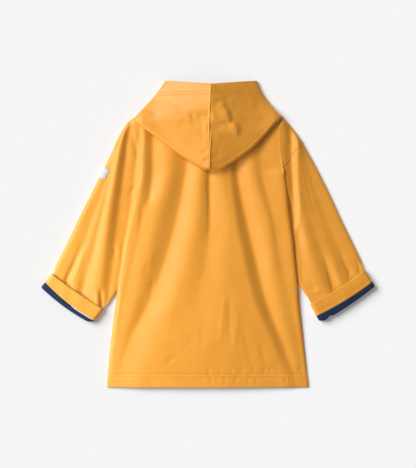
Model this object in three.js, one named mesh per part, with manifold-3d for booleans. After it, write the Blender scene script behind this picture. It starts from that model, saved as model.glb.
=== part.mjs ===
// Child's hooded raincoat, laid flat with its back up and both cuffs turned up once.
// Millimetres, +Z up. The origin is on the floor, below the middle of the coat's outline.
// +Y runs from the hem to the hood, and -X is the wearer's left.
import * as THREE from "three";
import Module from "manifold-3d";
import { mergeVertices } from "three/addons/utils/BufferGeometryUtils.js";

// Cloth and seams
const WALL = 1.6; // coated cloth with its jersey lining
const FRONT_WALL = 1.3;
const SEAM_GAP = 0.4;
const LAYER_GAP = 0.4;
const HEM = { band: 22, relief: 0.4, slope: 2 };

// Cuffs, each a band that is turned up round the sleeve's end
const CUFF_HEIGHT = 14.2;
const BAND_WALL = 2.0; // facing and outer cloth together
const BAND_SHARE = 0.68; // of the turn-up's depth, the rest is lining
const SLEEVE_INSET = BAND_WALL + LAYER_GAP;
const LINING_WALL = 1.2;
const LINING_INSET = SLEEVE_INSET + WALL + LAYER_GAP;
const LINING_LEG = 14; // inside the sleeve
const TURN_STEPS = 4; // round the fold at the sleeve's end

// Hood
const HOOD_FOLD = 9; // thickness where the hood folds under at its edge
const HOOD_EDGE_LIFT = 3.5;
const HOOD_REST_Z = 14.2; // the hood's underside on the back
const HOOD_SHOULDER_Z = 9.6; // and where its corners lie on the shoulders
const HOOD_CORNER = { fromX: 128, overX: 20 };
const HOOD_RAMP = { floorY: 268, restY: 226 };
const HOOD_CLEARANCE = { gap: 1.2, aboveY: 120 }; // to the back below it
const HOOD_FACE_CUT = 36; // how far the face opening's lower edge runs back
const HOOD_MOUTH_DIP = 9;
const HOOD_HEM = { width: 22, relief: 0.5, slope: 1.5 };
const HOOD_WELT = { width: 3.5, relief: 1.1 };
const HOOD_SLACK = 1.7; // of a wall's thickness, where the hollow narrows at the fold
const HOOD_TIP_OPEN = 0.02; // keeps the two sides apart at the tip
const TIP_SLIT = 0.4;

// Front closure
const FRONT_CLEARANCE = { beside: 2, along: 10 }; // from the sleeve's hidden edge
const PLACKET = { low: -18, high: 18, step: 0.4, taper: 6 };
const SNAP = { radius: 6, clearance: 0.3, count: 5, firstY: -240, pitch: 104, sides: 20 };

const EDGE_ROLL = 10; // how far in from an edge the cloth rises to its full height
const SLEEVE_ROLL = 9;
const SLEEVE_LIFT = 3.5;

const YELLOW = 0xffb13f;
const NAVY = 0x22304f;
const GREY = 0xe6e6ec;

// Where the back folds under at each side: the coat's edge up to the underarm, and above it
// the ridge that separates the back from the dropped shoulder.
const SIDE_LINE = [
  { y: -306, left: -202, right: 200 },
  { y: -212, left: -192.8, right: 190 },
  { y: -106, left: -179, right: 179.2 },
  { y: -12, left: -165.4, right: 170 },
  { y: 60, left: -149.5, right: 160.5 },
  { y: 104, left: -140, right: 153.5 },
  { y: 133, left: -134, right: 149.5 },
  { y: 182, left: -125.4, right: 144.6 },
  { y: 205, left: -128, right: 144 },
  { y: 232, left: -132, right: 150 },
];
const RIDGE_Z = 13;

// The body's outline above the underarm, from the armhole seam's lower end to the neck.
const SHOULDER_LINE = [
  { at: "underarm", left: [-140, 104], right: [149.5, 133], rows: 0 },
  { at: "shoulder tip", left: [-186, 176], right: [188.5, 183], rows: 4 },
  { at: "shoulder", left: [-174.5, 200], right: [175, 202], rows: 2 },
  { at: "shoulder top", left: [-160, 222], right: [159, 222], rows: 1 },
  { at: "hood corner", left: [-146, 233], right: [146, 237], rows: 1 },
  { at: "neck", left: [-76, 252], right: [76, 252], rows: 2 },
];
const SIDE_ROWS = 14;
const NECK = { drop: 14, rows: 4 };
const BACK_COLUMNS = { count: 38, crowding: 0.45 }; // crowded towards the side edges

// Folds of the back, from left to right: crest and trough lines that fan out below the hood.
// x and z are given at the three stations of Y, top first.
const BODY_STATIONS = [120, -52, -290];
const FOLD_TOP = { x: 80, z: 30 }; // above the first station, x and z stay as they are there
const BODY_FOLDS = [
  { line: "left edge crest", x: [-131, -162, -195], z: [13, 11.5, 5] },
  { line: "left trough", x: [-108, -144, -191], z: [6.5, 8.5, 4.7] },
  { line: "left crest", x: [-81, -121, -186], z: [13, 12, 5] },
  { line: "broad left trough", x: [-48, -84, -180], z: [5.5, 5.5, 4.7] },
  { line: "middle crest", x: [-15, -40, -124], z: [13.5, 12.5, 6] },
  { line: "centre trough", x: [5, -10, -48], z: [9, 9.5, 5.6] },
  { line: "right of centre crest", x: [28, 42, 70], z: [13, 13, 6.5] },
  { line: "deep right trough", x: [63, 90, 178], z: [5.2, 5.2, 4.7] },
  { line: "right crest", x: [99, 126, 187], z: [12.5, 11.5, 5.5] },
  { line: "right trough", x: [121, 150, 190], z: [9, 9.5, 5] },
  { line: "right edge crest", x: [142, 164, 193], z: [12, 11, 5] },
];

// Folds of the arms, from the outer edge towards the body, as on the back.
const ARM_STATIONS = [168, 38, -112];
const ARM_FOLDS = {
  left: [
    { line: "rim", x: [-186, -244, -306], z: [8.5, 9, 8] },
    { line: "outer trough", x: [-184, -228, -286], z: [9, 8.5, 6.5] },
    { line: "outer crest", x: [-182, -218, -268], z: [10.5, 10, 9.5] },
    { line: "middle trough", x: [-180, -212, -250], z: [11.5, 10, 7] },
    { line: "main crest", x: [-176, -196, -214], z: [13.5, 14, 11] },
    { line: "main trough", x: [-162, -179, -197], z: [5.8, 5.2, 6] },
    { line: "inner crest", x: [-149, -167, -189], z: [9.5, 7, 7] },
    { line: "inner trough", x: [-139, -158, -182], z: [6.5, 5.2, 5.5] },
  ],
  right: [
    { line: "rim", x: [192, 248, 312], z: [8.5, 8, 8.5] },
    { line: "outer trough", x: [189, 234, 297], z: [9, 6.5, 6.5] },
    { line: "outer crest", x: [185, 212, 274], z: [10.5, 11, 9.5] },
    { line: "middle trough", x: [182, 202, 257], z: [11, 9.5, 6.5] },
    { line: "main crest", x: [178, 192, 232], z: [12, 12.5, 10] },
    { line: "main trough", x: [162, 174, 196], z: [5.4, 5.2, 7] },
  ],
};
const SLEEVE_EMERGES = { y: -140, span: 36 }; // from below the back's edge, as it rises over it
const ARM_TUCK_Z = 5.2; // the sleeve's height where it passes under the back's edge

// Sleeves: the sleeve's outer and inner edge, from the armhole seam to the turned-up band,
// and last the fold at the end. bow is how far the section's middle lies towards the hand.
const SLEEVE_SECTIONS = {
  left: [
    { outer: [-186, 176], inner: [-135.2, 96.4], bow: 0 },
    { outer: [-211.5, 124], inner: [-138, 56], bow: 0 },
    { outer: [-236.5, 74], inner: [-149, 12], bow: 0 },
    { outer: [-260.5, 26], inner: [-157.5, -34], bow: 0 },
    { outer: [-284, -24], inner: [-166, -82], bow: 0 },
    { outer: [-301.5, -58], inner: [-188, -124], bow: 1 },
    { outer: [-312, -79], inner: [-208, -150], bow: 2 },
    { outer: [-333.7, -106], inner: [-230, -180], bow: 5 },
  ],
  right: [
    { outer: [188.5, 183], inner: [144.2, 125.7], bow: 0 },
    { outer: [216, 132], inner: [149, 56], bow: 0 },
    { outer: [242, 80], inner: [154, 12], bow: 0 },
    { outer: [266, 28], inner: [160, -34], bow: 0 },
    { outer: [289.5, -20], inner: [168.6, -83], bow: 0 },
    { outer: [305.5, -54], inner: [190, -114], bow: 2 },
    { outer: [312.5, -71], inner: [203.5, -139], bow: 3.5 },
    { outer: [333.8, -104], inner: [223, -178], bow: 3 },
  ],
};
const BAND_SECTION = 6;
const SLEEVE_NARROWS = { from: 5.2, over: 0.8 }; // to fit inside the band
const SLEEVE_STATIONS = [0, 0.35, 0.72, 1.24, 1.75, 2.3, 2.9, 3.5, 4.1, 4.7, 5.2, 5.6, 6, 6.4, 6.84];
const EDGE_STEPS = 3; // round each long edge of a flattened tube
const FLAT_STEPS = 8; // between them

// Hood sections, from the face opening to the tip of the fold.
const HOOD_SECTIONS = [
  { y: 306, left: -85.5, right: 98, seamX: 7, seamZ: 31 },
  { y: 296, left: -91.5, right: 102, seamX: 7, seamZ: 33 },
  { y: 284, left: -100.5, right: 107.5, seamX: 7, seamZ: 36 },
  { y: 272, left: -110, right: 115, seamX: 6, seamZ: 39 },
  { y: 260, left: -121, right: 124, seamX: 6, seamZ: 41 },
  { y: 247, left: -132.5, right: 134.5, seamX: 5, seamZ: 43 },
  { y: 234, left: -144, right: 146, seamX: 5, seamZ: 44 },
  { y: 226, left: -148.5, right: 142, seamX: 4, seamZ: 44 },
  { y: 214, left: -134, right: 130, seamX: 4, seamZ: 43 },
  { y: 194, left: -106, right: 113, seamX: 4, seamZ: 41 },
  { y: 172, left: -76, right: 92, seamX: 3, seamZ: 37.5 },
  { y: 154, left: -52, right: 69, seamX: 2, seamZ: 34 },
  { y: 140, left: -30, right: 48, seamX: 2, seamZ: 30.5 },
  { y: 131, left: -14, right: 34, seamX: 1, seamZ: 27.5 },
  { y: 126.5, left: -5, right: 24, seamX: 1, seamZ: 24.5 },
];
const HOOD_LOWER_START_ROW = 5; // the first row whose underside isn't drawn back
const HOOD_ACROSS = [0, 0.015, 0.04, 0.08, 0.15, 0.28, 0.42, 0.56, 0.7, 0.84, 0.95]; // edge to seam

// The tab on the left sleeve lies between two of its stations. Its columns are counted in steps
// of the sleeve's ring from the outer edge, those below zero on the underside.
const TAB = { station: 2, from: 0.82, to: 1.22, slant: 0.0062, steps: [-1, 0, 1, 2, 3, 3.45], wall: 0.8 };

// Curves and tables

const clamp = THREE.MathUtils.clamp;
const mix = THREE.MathUtils.lerp;
const smooth = (t) => THREE.MathUtils.smoothstep(t, 0, 1);

// A value at y on the quadratic through three stations.
function through([a, b, c], [fa, fb, fc], y) {
  const wa = ((y - b) * (y - c)) / ((a - b) * (a - c));
  const wb = ((y - a) * (y - c)) / ((b - a) * (b - c));
  const wc = ((y - a) * (y - b)) / ((c - a) * (c - b));
  return fa * wa + fb * wb + fc * wc;
}

// A column of a table at the fractional row r, on a smooth curve through its values.
function smoothAt(values, r) {
  const i = clamp(Math.floor(r), 0, values.length - 2);
  const t = clamp(r - i, 0, 1);
  const before = i > 0 ? values[i - 1] : 2 * values[0] - values[1];
  const after = i + 2 < values.length ? values[i + 2] : 2 * values[i + 1] - values[i];
  const startSlope = (values[i + 1] - before) / 2;
  const endSlope = (after - values[i]) / 2;
  const t2 = t * t;
  const t3 = t2 * t;
  return (
    values[i] * (2 * t3 - 3 * t2 + 1) +
    startSlope * (t3 - 2 * t2 + t) +
    values[i + 1] * (3 * t2 - 2 * t3) +
    endSlope * (t3 - t2)
  );
}

function sideX(side, y) {
  let i = SIDE_LINE.findIndex((row) => row.y > y);
  if (i < 0) i = SIDE_LINE.length - 1;
  i = Math.max(i, 1);
  const low = SIDE_LINE[i - 1];
  const high = SIDE_LINE[i];
  return mix(low[side], high[side], clamp((y - low.y) / (high.y - low.y), 0, 1));
}

// How far the cloth has risen, 0 to 1, at a distance from the edge it rolls over.
function roll(distance, radius) {
  const t = clamp(distance / radius, 0, 1);
  return Math.sqrt(1 - (1 - t) * (1 - t));
}

function distanceTo(path, x, y) {
  let nearest = Infinity;
  for (let i = 0; i + 1 < path.length; i++) {
    const [ax, ay] = path[i];
    const [bx, by] = path[i + 1];
    const along = ((x - ax) * (bx - ax) + (y - ay) * (by - ay)) / ((bx - ax) ** 2 + (by - ay) ** 2);
    const t = clamp(along, 0, 1);
    nearest = Math.min(nearest, Math.hypot(x - mix(ax, bx, t), y - mix(ay, by, t)));
  }
  return nearest;
}

// Height between crest and trough lines, level along each of them.
function heightAcross(lines, x) {
  if (x <= lines[0].x) return lines[0].z;
  for (let i = 1; i < lines.length; i++) {
    const span = lines[i].x - lines[i - 1].x;
    if (x < lines[i].x) {
      return mix(lines[i - 1].z, lines[i].z, (1 - Math.cos((Math.PI * (x - lines[i - 1].x)) / span)) / 2);
    }
  }
  return lines[lines.length - 1].z;
}

function foldLines(folds, stations, y) {
  const xAt = Math.min(y, stations[0] + FOLD_TOP.x);
  const zAt = Math.min(y, stations[0] + FOLD_TOP.z);
  return folds.map((fold) => ({ x: through(stations, fold.x, xAt), z: through(stations, fold.z, zAt) }));
}

// Heights of the coat's upper side

function armLines(side, y, innerZ) {
  const lines = foldLines(ARM_FOLDS[side], ARM_STATIONS, y);
  lines.push({ x: sideX(side, y), z: innerZ });
  return side === "left" ? lines : lines.reverse();
}

// Below the underarm the lines end at the coat's own edge, level with the crest beside it.
function bodyHeight(x, y) {
  const folds = foldLines(BODY_FOLDS, BODY_STATIONS, y);
  const edge = (side, crest) => ({ x: sideX(side, y), z: y < SHOULDER_LINE[0][side][1] ? crest.z : RIDGE_Z });
  return heightAcross([edge("left", folds[0]), ...folds, edge("right", folds[folds.length - 1])], x);
}

const armHeight = (side, x, y, innerZ = ARM_TUCK_Z) => heightAcross(armLines(side, y, innerZ), x);

function hoodUnderside(x, y) {
  const corner = smooth((Math.abs(x) - HOOD_CORNER.fromX) / HOOD_CORNER.overX);
  const rest = mix(HOOD_REST_Z, HOOD_SHOULDER_Z, corner);
  const ramp = clamp((HOOD_RAMP.floorY - y) / (HOOD_RAMP.floorY - HOOD_RAMP.restY), 0, 1);
  return rest * ramp;
}

function sidePath(side) {
  const top = SHOULDER_LINE[0][side][1];
  const path = SIDE_LINE.filter((row) => row.y < top).map((row) => [row[side], row.y]);
  return [...path, SHOULDER_LINE[0][side]];
}
const SIDE_PATHS = { left: sidePath("left"), right: sidePath("right") };
const SHOULDER_PATHS = {
  left: SHOULDER_LINE.slice(1).map((row) => row.left),
  right: SHOULDER_LINE.slice(1).map((row) => row.right),
};

// Upper side of the back panel.
function backTop(x, y) {
  const side = x < 0 ? "left" : "right";
  const outside = side === "left" ? x < sideX(side, y) : x > sideX(side, y);
  let z = outside ? armHeight(side, x, y, RIDGE_Z) : bodyHeight(x, y);
  const onFront = FRONT_WALL + LAYER_GAP + WALL;
  const overSleeve = smooth((y - SLEEVE_EMERGES.y) / SLEEVE_EMERGES.span);
  const sideBase = mix(onFront, ARM_TUCK_Z + 2 * LAYER_GAP + WALL, overSleeve);
  z = mix(sideBase, z, roll(distanceTo(SIDE_PATHS[side], x, y), EDGE_ROLL));
  z = mix(onFront, z, roll(distanceTo(SHOULDER_PATHS[side], x, y), EDGE_ROLL));
  if (y > HOOD_CLEARANCE.aboveY) z = Math.min(z, hoodUnderside(x, y) - HOOD_CLEARANCE.gap);
  const hemTop = SIDE_LINE[0].y + HEM.band;
  return Math.max(z, onFront) + HEM.relief * smooth((hemTop - y) / HEM.slope);
}

// Solids

// One closed wall between an outer and an inner grid of points, given row by row.
function clothWall(outer, inner, wraps) {
  const rows = outer.length;
  const columns = outer[0].length;
  const positions = [...outer.flat(), ...inner.flat()].flat();
  const at = (r, c) => r * columns + (c % columns);
  const within = (r, c) => rows * columns + at(r, c);
  const index = [];
  const quad = (a, b, c, d) => index.push(a, b, c, a, c, d);
  const spans = wraps ? columns : columns - 1;
  for (let c = 0; c < spans; c++) {
    for (let r = 0; r + 1 < rows; r++) {
      quad(at(r, c), at(r, c + 1), at(r + 1, c + 1), at(r + 1, c));
      quad(within(r, c), within(r + 1, c), within(r + 1, c + 1), within(r, c + 1));
    }
    quad(at(0, c), within(0, c), within(0, c + 1), at(0, c + 1));
    quad(at(rows - 1, c), at(rows - 1, c + 1), within(rows - 1, c + 1), within(rows - 1, c));
  }
  for (let r = 0; !wraps && r + 1 < rows; r++) {
    quad(at(r, 0), at(r + 1, 0), within(r + 1, 0), within(r, 0));
    quad(at(r, columns - 1), within(r, columns - 1), within(r + 1, columns - 1), at(r + 1, columns - 1));
  }
  const geometry = new THREE.BufferGeometry();
  geometry.setAttribute("position", new THREE.Float32BufferAttribute(positions, 3));
  geometry.setIndex(index);
  return faceOut(geometry);
}

function signedVolume(geometry) {
  const p = geometry.getAttribute("position");
  const i = geometry.index.array;
  const [a, b, c] = [new THREE.Vector3(), new THREE.Vector3(), new THREE.Vector3()];
  let sum = 0;
  for (let k = 0; k < i.length; k += 3) {
    a.fromBufferAttribute(p, i[k]);
    b.fromBufferAttribute(p, i[k + 1]);
    c.fromBufferAttribute(p, i[k + 2]);
    sum += a.dot(b.cross(c));
  }
  return sum / 6;
}

function faceOut(geometry) {
  if (signedVolume(geometry) < 0) {
    const i = geometry.index.array;
    for (let k = 0; k < i.length; k += 3) [i[k + 1], i[k + 2]] = [i[k + 2], i[k + 1]];
  }
  geometry.computeVertexNormals();
  return geometry;
}

const wasm = await Module();
wasm.setup();

function toSolid(geometry) {
  const bare = geometry.clone();
  bare.deleteAttribute("normal");
  bare.deleteAttribute("uv");
  const merged = mergeVertices(bare, 1e-4);
  const vertProperties = new Float32Array(merged.getAttribute("position").array);
  const triVerts = new Uint32Array(merged.index.array);
  return new wasm.Manifold(new wasm.Mesh({ numProp: 3, vertProperties, triVerts }));
}

function toGeometry(solid) {
  const mesh = solid.getMesh();
  const geometry = new THREE.BufferGeometry();
  geometry.setAttribute("position", new THREE.BufferAttribute(mesh.vertProperties, 3));
  geometry.setIndex(new THREE.BufferAttribute(mesh.triVerts, 1));
  geometry.computeVertexNormals();
  return geometry;
}

// Body

// Points along one side of the body, from the hem to the neck, a row each.
function bodyEdge(side) {
  const points = [];
  const top = SHOULDER_LINE[0][side][1];
  for (let r = 0; r <= SIDE_ROWS; r++) {
    const y = mix(SIDE_LINE[0].y, top, r / SIDE_ROWS);
    points.push([sideX(side, y), y]);
  }
  SHOULDER_LINE.slice(1).forEach((row, i) => {
    const [x0, y0] = SHOULDER_LINE[i][side];
    for (let r = 1; r <= row.rows; r++) {
      points.push([mix(x0, row[side][0], r / row.rows), mix(y0, row[side][1], r / row.rows)]);
    }
  });
  return points;
}

// How far the neckline has dropped at the row r of the body's edge.
const neckDrop = (r, last) => NECK.drop * smooth((r - last + NECK.rows) / NECK.rows);

function backPanel() {
  const left = bodyEdge("left");
  const right = bodyEdge("right");
  const { count, crowding } = BACK_COLUMNS;
  const outer = left.map((l, r) => {
    const drop = neckDrop(r, left.length - 1);
    return Array.from({ length: count + 1 }, (_, c) => {
      const across = mix(c / count, (1 - Math.cos((Math.PI * c) / count)) / 2, crowding);
      const x = mix(l[0], right[r][0], across);
      const y = mix(l[1], right[r][1], across) - drop * 4 * across * (1 - across);
      return [x, y, backTop(x, y)];
    });
  });
  const inner = outer.map((row) => row.map(([x, y, z]) => [x, y, z - WALL]));
  return clothWall(outer, inner, false);
}

// The front's own edge: the body's, drawn in where the sleeve passes under the back.
function frontEdge(side) {
  const towards = side === "left" ? 1 : -1;
  const sleeveEdge = sleeveBoundary(side);
  return bodyEdge(side).map(([x, y]) => {
    const nearby = sleeveEdge.filter((p) => Math.abs(p[1] - y) <= FRONT_CLEARANCE.along);
    const limits = nearby.map((p) => towards * p[0] + FRONT_CLEARANCE.beside);
    return [towards * Math.max(towards * x + SEAM_GAP, ...limits), y];
  });
}

// The sleeve's edge nearest the body, from the shoulder tip down to the turned-up band.
function sleeveBoundary(side) {
  const steps = 60;
  const seam = Array.from({ length: steps }, (_, i) => sleevePlan(side, 0, i / steps));
  const edge = Array.from({ length: steps + 1 }, (_, i) => sleevePlan(side, (BAND_SECTION * i) / steps, 1));
  return [...seam, ...edge];
}

function frontPanel(side, columns) {
  const edge = frontEdge(side);
  const neckX = SHOULDER_LINE[SHOULDER_LINE.length - 1].right[0];
  const rows = edge.map(([ex, ey], r) => {
    const drop = neckDrop(r, edge.length - 1);
    return columns.map(({ x, share, low, high }) => {
      const px = share === undefined ? x : mix(x, ex, share);
      const y = ey - drop * (1 - Math.min(1, Math.abs(px) / neckX) ** 2);
      return { point: [px, y], low, high };
    });
  });
  const top = rows.map((row) => row.map(({ point, high }) => [...point, high]));
  const bottom = rows.map((row) => row.map(({ point, low }) => [...point, low]));
  return clothWall(top, bottom, false);
}

// The flap that faces the floor when the coat is closed.
function frontLeft() {
  const across = [1, 0.9, 0.6, 0.3, 0];
  const edgeX = PLACKET.high - SEAM_GAP;
  return frontPanel("left", across.map((share) => ({ x: edgeX, share, low: 0, high: FRONT_WALL })));
}

// The other front, with the under flap a layer higher.
function frontRight() {
  const flapLow = FRONT_WALL + LAYER_GAP;
  const flapHigh = flapLow + FRONT_WALL;
  const { low, high, step, taper } = PLACKET;
  return frontPanel("right", [
    { x: low, low: flapLow, high: flapHigh },
    { x: high, low: flapLow, high: flapHigh },
    { x: high + step, low: 0, high: flapHigh },
    { x: high + taper, low: 0, high: FRONT_WALL },
    { x: high + taper, share: 0.3, low: 0, high: FRONT_WALL },
    { x: high + taper, share: 0.6, low: 0, high: FRONT_WALL },
    { x: high + taper, share: 0.9, low: 0, high: FRONT_WALL },
    { x: high + taper, share: 1, low: 0, high: FRONT_WALL },
  ]);
}

const snapY = (i) => SNAP.firstY + SNAP.pitch * i;

function snapDisc(radius, height, y) {
  const disc = new THREE.CylinderGeometry(radius, radius, height, SNAP.sides);
  return disc.rotateX(Math.PI / 2).translate(0, y, height / 2);
}

// The outer flap with a round seat for each snap.
function flapWithSeats(geometry) {
  let solid = toSolid(geometry);
  for (let i = 0; i < SNAP.count; i++) {
    const seat = snapDisc(SNAP.radius + SNAP.clearance, 4 * FRONT_WALL, snapY(i));
    solid = solid.subtract(toSolid(seat.translate(0, 0, -FRONT_WALL)));
  }
  return toGeometry(solid);
}

// Sleeves and cuffs

function sleevePlan(side, s, t) {
  const rows = SLEEVE_SECTIONS[side];
  const edge = (name) => [0, 1].map((axis) => smoothAt(rows.map((row) => row[name][axis]), s));
  const [outer, inner] = [edge("outer"), edge("inner")];
  const [dx, dy] = [inner[0] - outer[0], inner[1] - outer[1]];
  const bow = smoothAt(rows.map((row) => row.bow), s) * 4 * t * (1 - t);
  const share = (Math.sign(dx) * bow) / Math.hypot(dx, dy);
  return [outer[0] + dx * t + dy * share, outer[1] + dy * t - dx * share];
}

function sleeveWidth(side, s) {
  const [a, b] = [sleevePlan(side, s, 0), sleevePlan(side, s, 1)];
  return Math.hypot(a[0] - b[0], a[1] - b[1]);
}

// One ring of a flattened tube: along the upper side and back along the lower one.
// Its long edges are rolled to the radius, less the inset. span(x, y) gives the tube's lowest
// and highest point there, before the inset, and lift is the height of the edge above the lowest.
function flatRing(side, s, { inset, radius, lift, span }) {
  const width = sleeveWidth(side, s);
  const across = [];
  for (let i = 0; i <= EDGE_STEPS; i++) {
    const angle = (Math.PI * i) / (2 * EDGE_STEPS);
    across.push({ distance: radius - (radius - inset) * Math.cos(angle), risen: Math.sin(angle) });
  }
  for (let i = 1; i < FLAT_STEPS; i++) {
    across.push({ distance: mix(radius, width - radius, i / FLAT_STEPS), risen: 1 });
  }
  for (let i = EDGE_STEPS; i >= 0; i--) {
    across.push({ ...across[i], distance: width - across[i].distance });
  }
  const upper = [];
  const lower = [];
  for (const { distance, risen } of across) {
    const [x, y] = sleevePlan(side, s, distance / width);
    const { low, high } = span(x, y);
    upper.push([x, y, mix(low + lift, high - inset, risen)]);
    lower.push([x, y, mix(low + lift, low + inset, risen)]);
  }
  return [...upper, ...lower.slice(1, -1).reverse()];
}

const mixRings = (a, b, t) => a.map((p, i) => p.map((v, k) => mix(v, b[i][k], t)));

// The sleeve's ring, which narrows to fit inside the turned-up band.
function sleeveRing(side, s, inset) {
  const tucked = (x, y) => (side === "left" ? x > sideX(side, y) : x < sideX(side, y));
  const free = flatRing(side, s, {
    inset,
    radius: SLEEVE_ROLL,
    lift: SLEEVE_LIFT,
    span: (x, y) => ({ low: 0, high: tucked(x, y) ? ARM_TUCK_Z : armHeight(side, x, y) }),
  });
  const narrowed = smooth((s - SLEEVE_NARROWS.from) / SLEEVE_NARROWS.over);
  const ring = mixRings(free, cuffRing(side, s, SLEEVE_INSET + inset), narrowed);
  const seam = s === 0 ? SEAM_GAP : 0;
  const away = side === "left" ? -1 : 1;
  return ring.map(([x, y, z]) => [x + away * seam, y - seam, z]);
}

function sleeve(side) {
  const outer = SLEEVE_STATIONS.map((s) => sleeveRing(side, s, 0));
  const inner = SLEEVE_STATIONS.map((s) => sleeveRing(side, s, WALL));
  return clothWall(outer, inner, true);
}

// A ring at the section s, inset from the cuff's outer surface.
function cuffRing(side, s, inset) {
  const half = CUFF_HEIGHT / 2;
  return flatRing(side, s, { inset, radius: half, lift: half, span: () => ({ low: 0, high: CUFF_HEIGHT }) });
}

function cuffBand(side) {
  const sections = [0, 0.5, 1].map((t) => BAND_SECTION + BAND_SHARE * t);
  const outer = sections.map((s) => cuffRing(side, s, 0));
  const inner = sections.map((s) => cuffRing(side, s, BAND_WALL));
  return clothWall(outer, inner, true);
}

// The lining that shows at the fold: down the outside, round the end and up inside the sleeve.
function cuffLining(side) {
  const depth = sleeveDepth(side);
  const inside = LINING_INSET + LINING_WALL;
  const start = BAND_SHARE * depth + SEAM_GAP;
  const middle = inside / 2;
  const turn = (radius) =>
    Array.from({ length: TURN_STEPS + 1 }, (_, i) => {
      const angle = (Math.PI * i) / TURN_STEPS;
      return { along: depth - middle + Math.sin(angle) * radius, inset: middle - Math.cos(angle) * radius };
    });
  const outerPath = [
    { along: start, inset: 0 },
    ...turn(middle),
    { along: depth - LINING_LEG - middle, inset: inside },
  ];
  const innerPath = [
    { along: start, inset: BAND_WALL },
    ...turn(middle - LINING_WALL).map((p, i) => (i === 0 ? { along: p.along, inset: BAND_WALL } : p)),
    { along: depth - LINING_LEG - middle, inset: LINING_INSET },
  ];
  const rings = (path) => path.map((p) => cuffRing(side, BAND_SECTION + p.along / depth, p.inset));
  return clothWall(rings(outerPath), rings(innerPath), true);
}

function sleeveDepth(side) {
  const [a, b] = [sleevePlan(side, BAND_SECTION, 0.5), sleevePlan(side, BAND_SECTION + 1, 0.5)];
  return Math.hypot(a[0] - b[0], a[1] - b[1]);
}

// A tab sewn over the left sleeve's outer edge, made from the sleeve's own points moved out.
function sleeveTab() {
  const ends = [SLEEVE_STATIONS[TAB.station], SLEEVE_STATIONS[TAB.station + 1]];
  const rings = ends.map((s) => sleeveRing("left", s, 0));
  const corner = (ring, i) => new THREE.Vector3(...ring[(i + ring.length) % ring.length]);
  const column = (i, t) => corner(rings[0], i).lerp(corner(rings[1], i), t);
  const edgeOfTube = column(0, 0);
  const layer = (out) =>
    [TAB.from, TAB.to].map((s) =>
      TAB.steps.map((step) => {
        const i = Math.floor(step);
        const inward = column(i, 0).lerp(column(i + 1, 0), step - i).distanceTo(edgeOfTube);
        const t = (s - TAB.slant * inward - ends[0]) / (ends[1] - ends[0]);
        const point = column(i, t).lerp(column(i + 1, t), step - i);
        const along = column(i, 1).sub(column(i, 0));
        const across = column(Number.isInteger(step) ? i - 1 : i, t).sub(column(i + 1, t));
        return point.addScaledVector(across.cross(along).normalize(), out).toArray();
      }),
    );
  return clothWall(layer(SEAM_GAP + TAB.wall), layer(SEAM_GAP), false);
}

// Hood

const HOOD_OUTLINE = [
  ...HOOD_SECTIONS.map((row) => [row.left, row.y]),
  ...[...HOOD_SECTIONS].reverse().map((row) => [row.right, row.y]),
];

// Upper side of the hood at a point of a row, across being 0 at the edge and 1 at the seam.
function hoodTop(row, side, x, y, across) {
  const rest = hoodUnderside(x, y);
  const edge = Math.min(HOOD_FOLD, row.seamZ - rest - 1);
  const crown = edge + (row.seamZ - rest - edge) * across ** 0.92;
  const hem = HOOD_HEM.relief * smooth((y - HOOD_SECTIONS[0].y + HOOD_HEM.width) / HOOD_HEM.slope);
  return { rest, height: crown + hem };
}

function hoodPoint(row, side, across, inset, upper, drawBack) {
  const away = side === "left" ? -1 : 1;
  const reach = Math.abs(row[side] - row.seamX) - inset * HOOD_SLACK;
  const gap = SEAM_GAP / 2;
  const x = row.seamX + away * (gap + (reach - gap) * (1 - across));
  const y = row.y - drawBack - (upper && row === HOOD_SECTIONS[0] ? HOOD_MOUTH_DIP * across : 0);
  const distance = Math.max(distanceTo(HOOD_OUTLINE, x, row.y) - inset, HOOD_TIP_OPEN * reach * across);
  const risen = across === 0 ? 0 : roll(distance, HOOD_FOLD);
  const { rest, height } = hoodTop(row, side, x, y, across);
  const welt = side === "left" && across === 1 ? HOOD_WELT.relief : 0;
  const middle = rest + HOOD_EDGE_LIFT;
  const z = upper ? mix(middle, rest + height + welt - inset, risen) : mix(middle, rest + inset, risen);
  return [x, y, z];
}

// Half the hood: over the top from the seam to the edge, and back beneath to the seam.
function hoodHalf(side) {
  const lastShare = mix(HOOD_ACROSS[HOOD_ACROSS.length - 1], 1, 0.1);
  const weltShare = (row) => Math.max(1 - HOOD_WELT.width / Math.abs(row[side] - row.seamX), lastShare);
  const last = HOOD_SECTIONS.length - 1;
  const mouth = HOOD_SECTIONS[0].y;
  const lowerStart = HOOD_SECTIONS[HOOD_LOWER_START_ROW].y;
  const path = (row, r, inset) => {
    const shares = [...HOOD_ACROSS, weltShare(row), 1];
    const back = (across) =>
      row.y <= lowerStart ? 0 : HOOD_FACE_CUT * across * ((row.y - lowerStart) / (mouth - lowerStart));
    const upper = [...shares].reverse().map((a) => hoodPoint(row, side, a, inset, true, 0));
    const lower = shares.slice(1).map((a) => hoodPoint(row, side, a, inset, false, back(a)));
    if (r < last || inset === 0) return [...upper, ...lower];
    return [...upper, ...lower].map(([x, y], i) => {
      const slit = (i < upper.length ? TIP_SLIT : -TIP_SLIT) / 2;
      return [x, y, hoodUnderside(x, y) + HOOD_EDGE_LIFT + slit];
    });
  };
  const outer = HOOD_SECTIONS.map((row, r) => path(row, r, 0));
  const inner = HOOD_SECTIONS.map((row, r) => path(row, r, WALL));
  return clothWall(outer, inner, false);
}

// Assembly

const FINISHES = {
  cloth: { color: YELLOW, roughness: 0.45, metalness: 0 },
  lining: { color: NAVY, roughness: 0.9, metalness: 0 },
  tab: { color: GREY, roughness: 0.35, metalness: 0 },
  snap: { color: YELLOW, roughness: 0.3, metalness: 0 },
};

const coat = new THREE.Group();

function add(name, geometry, finish) {
  const mesh = new THREE.Mesh(geometry, new THREE.MeshStandardMaterial(FINISHES[finish]));
  mesh.name = name;
  coat.add(mesh);
}

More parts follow.
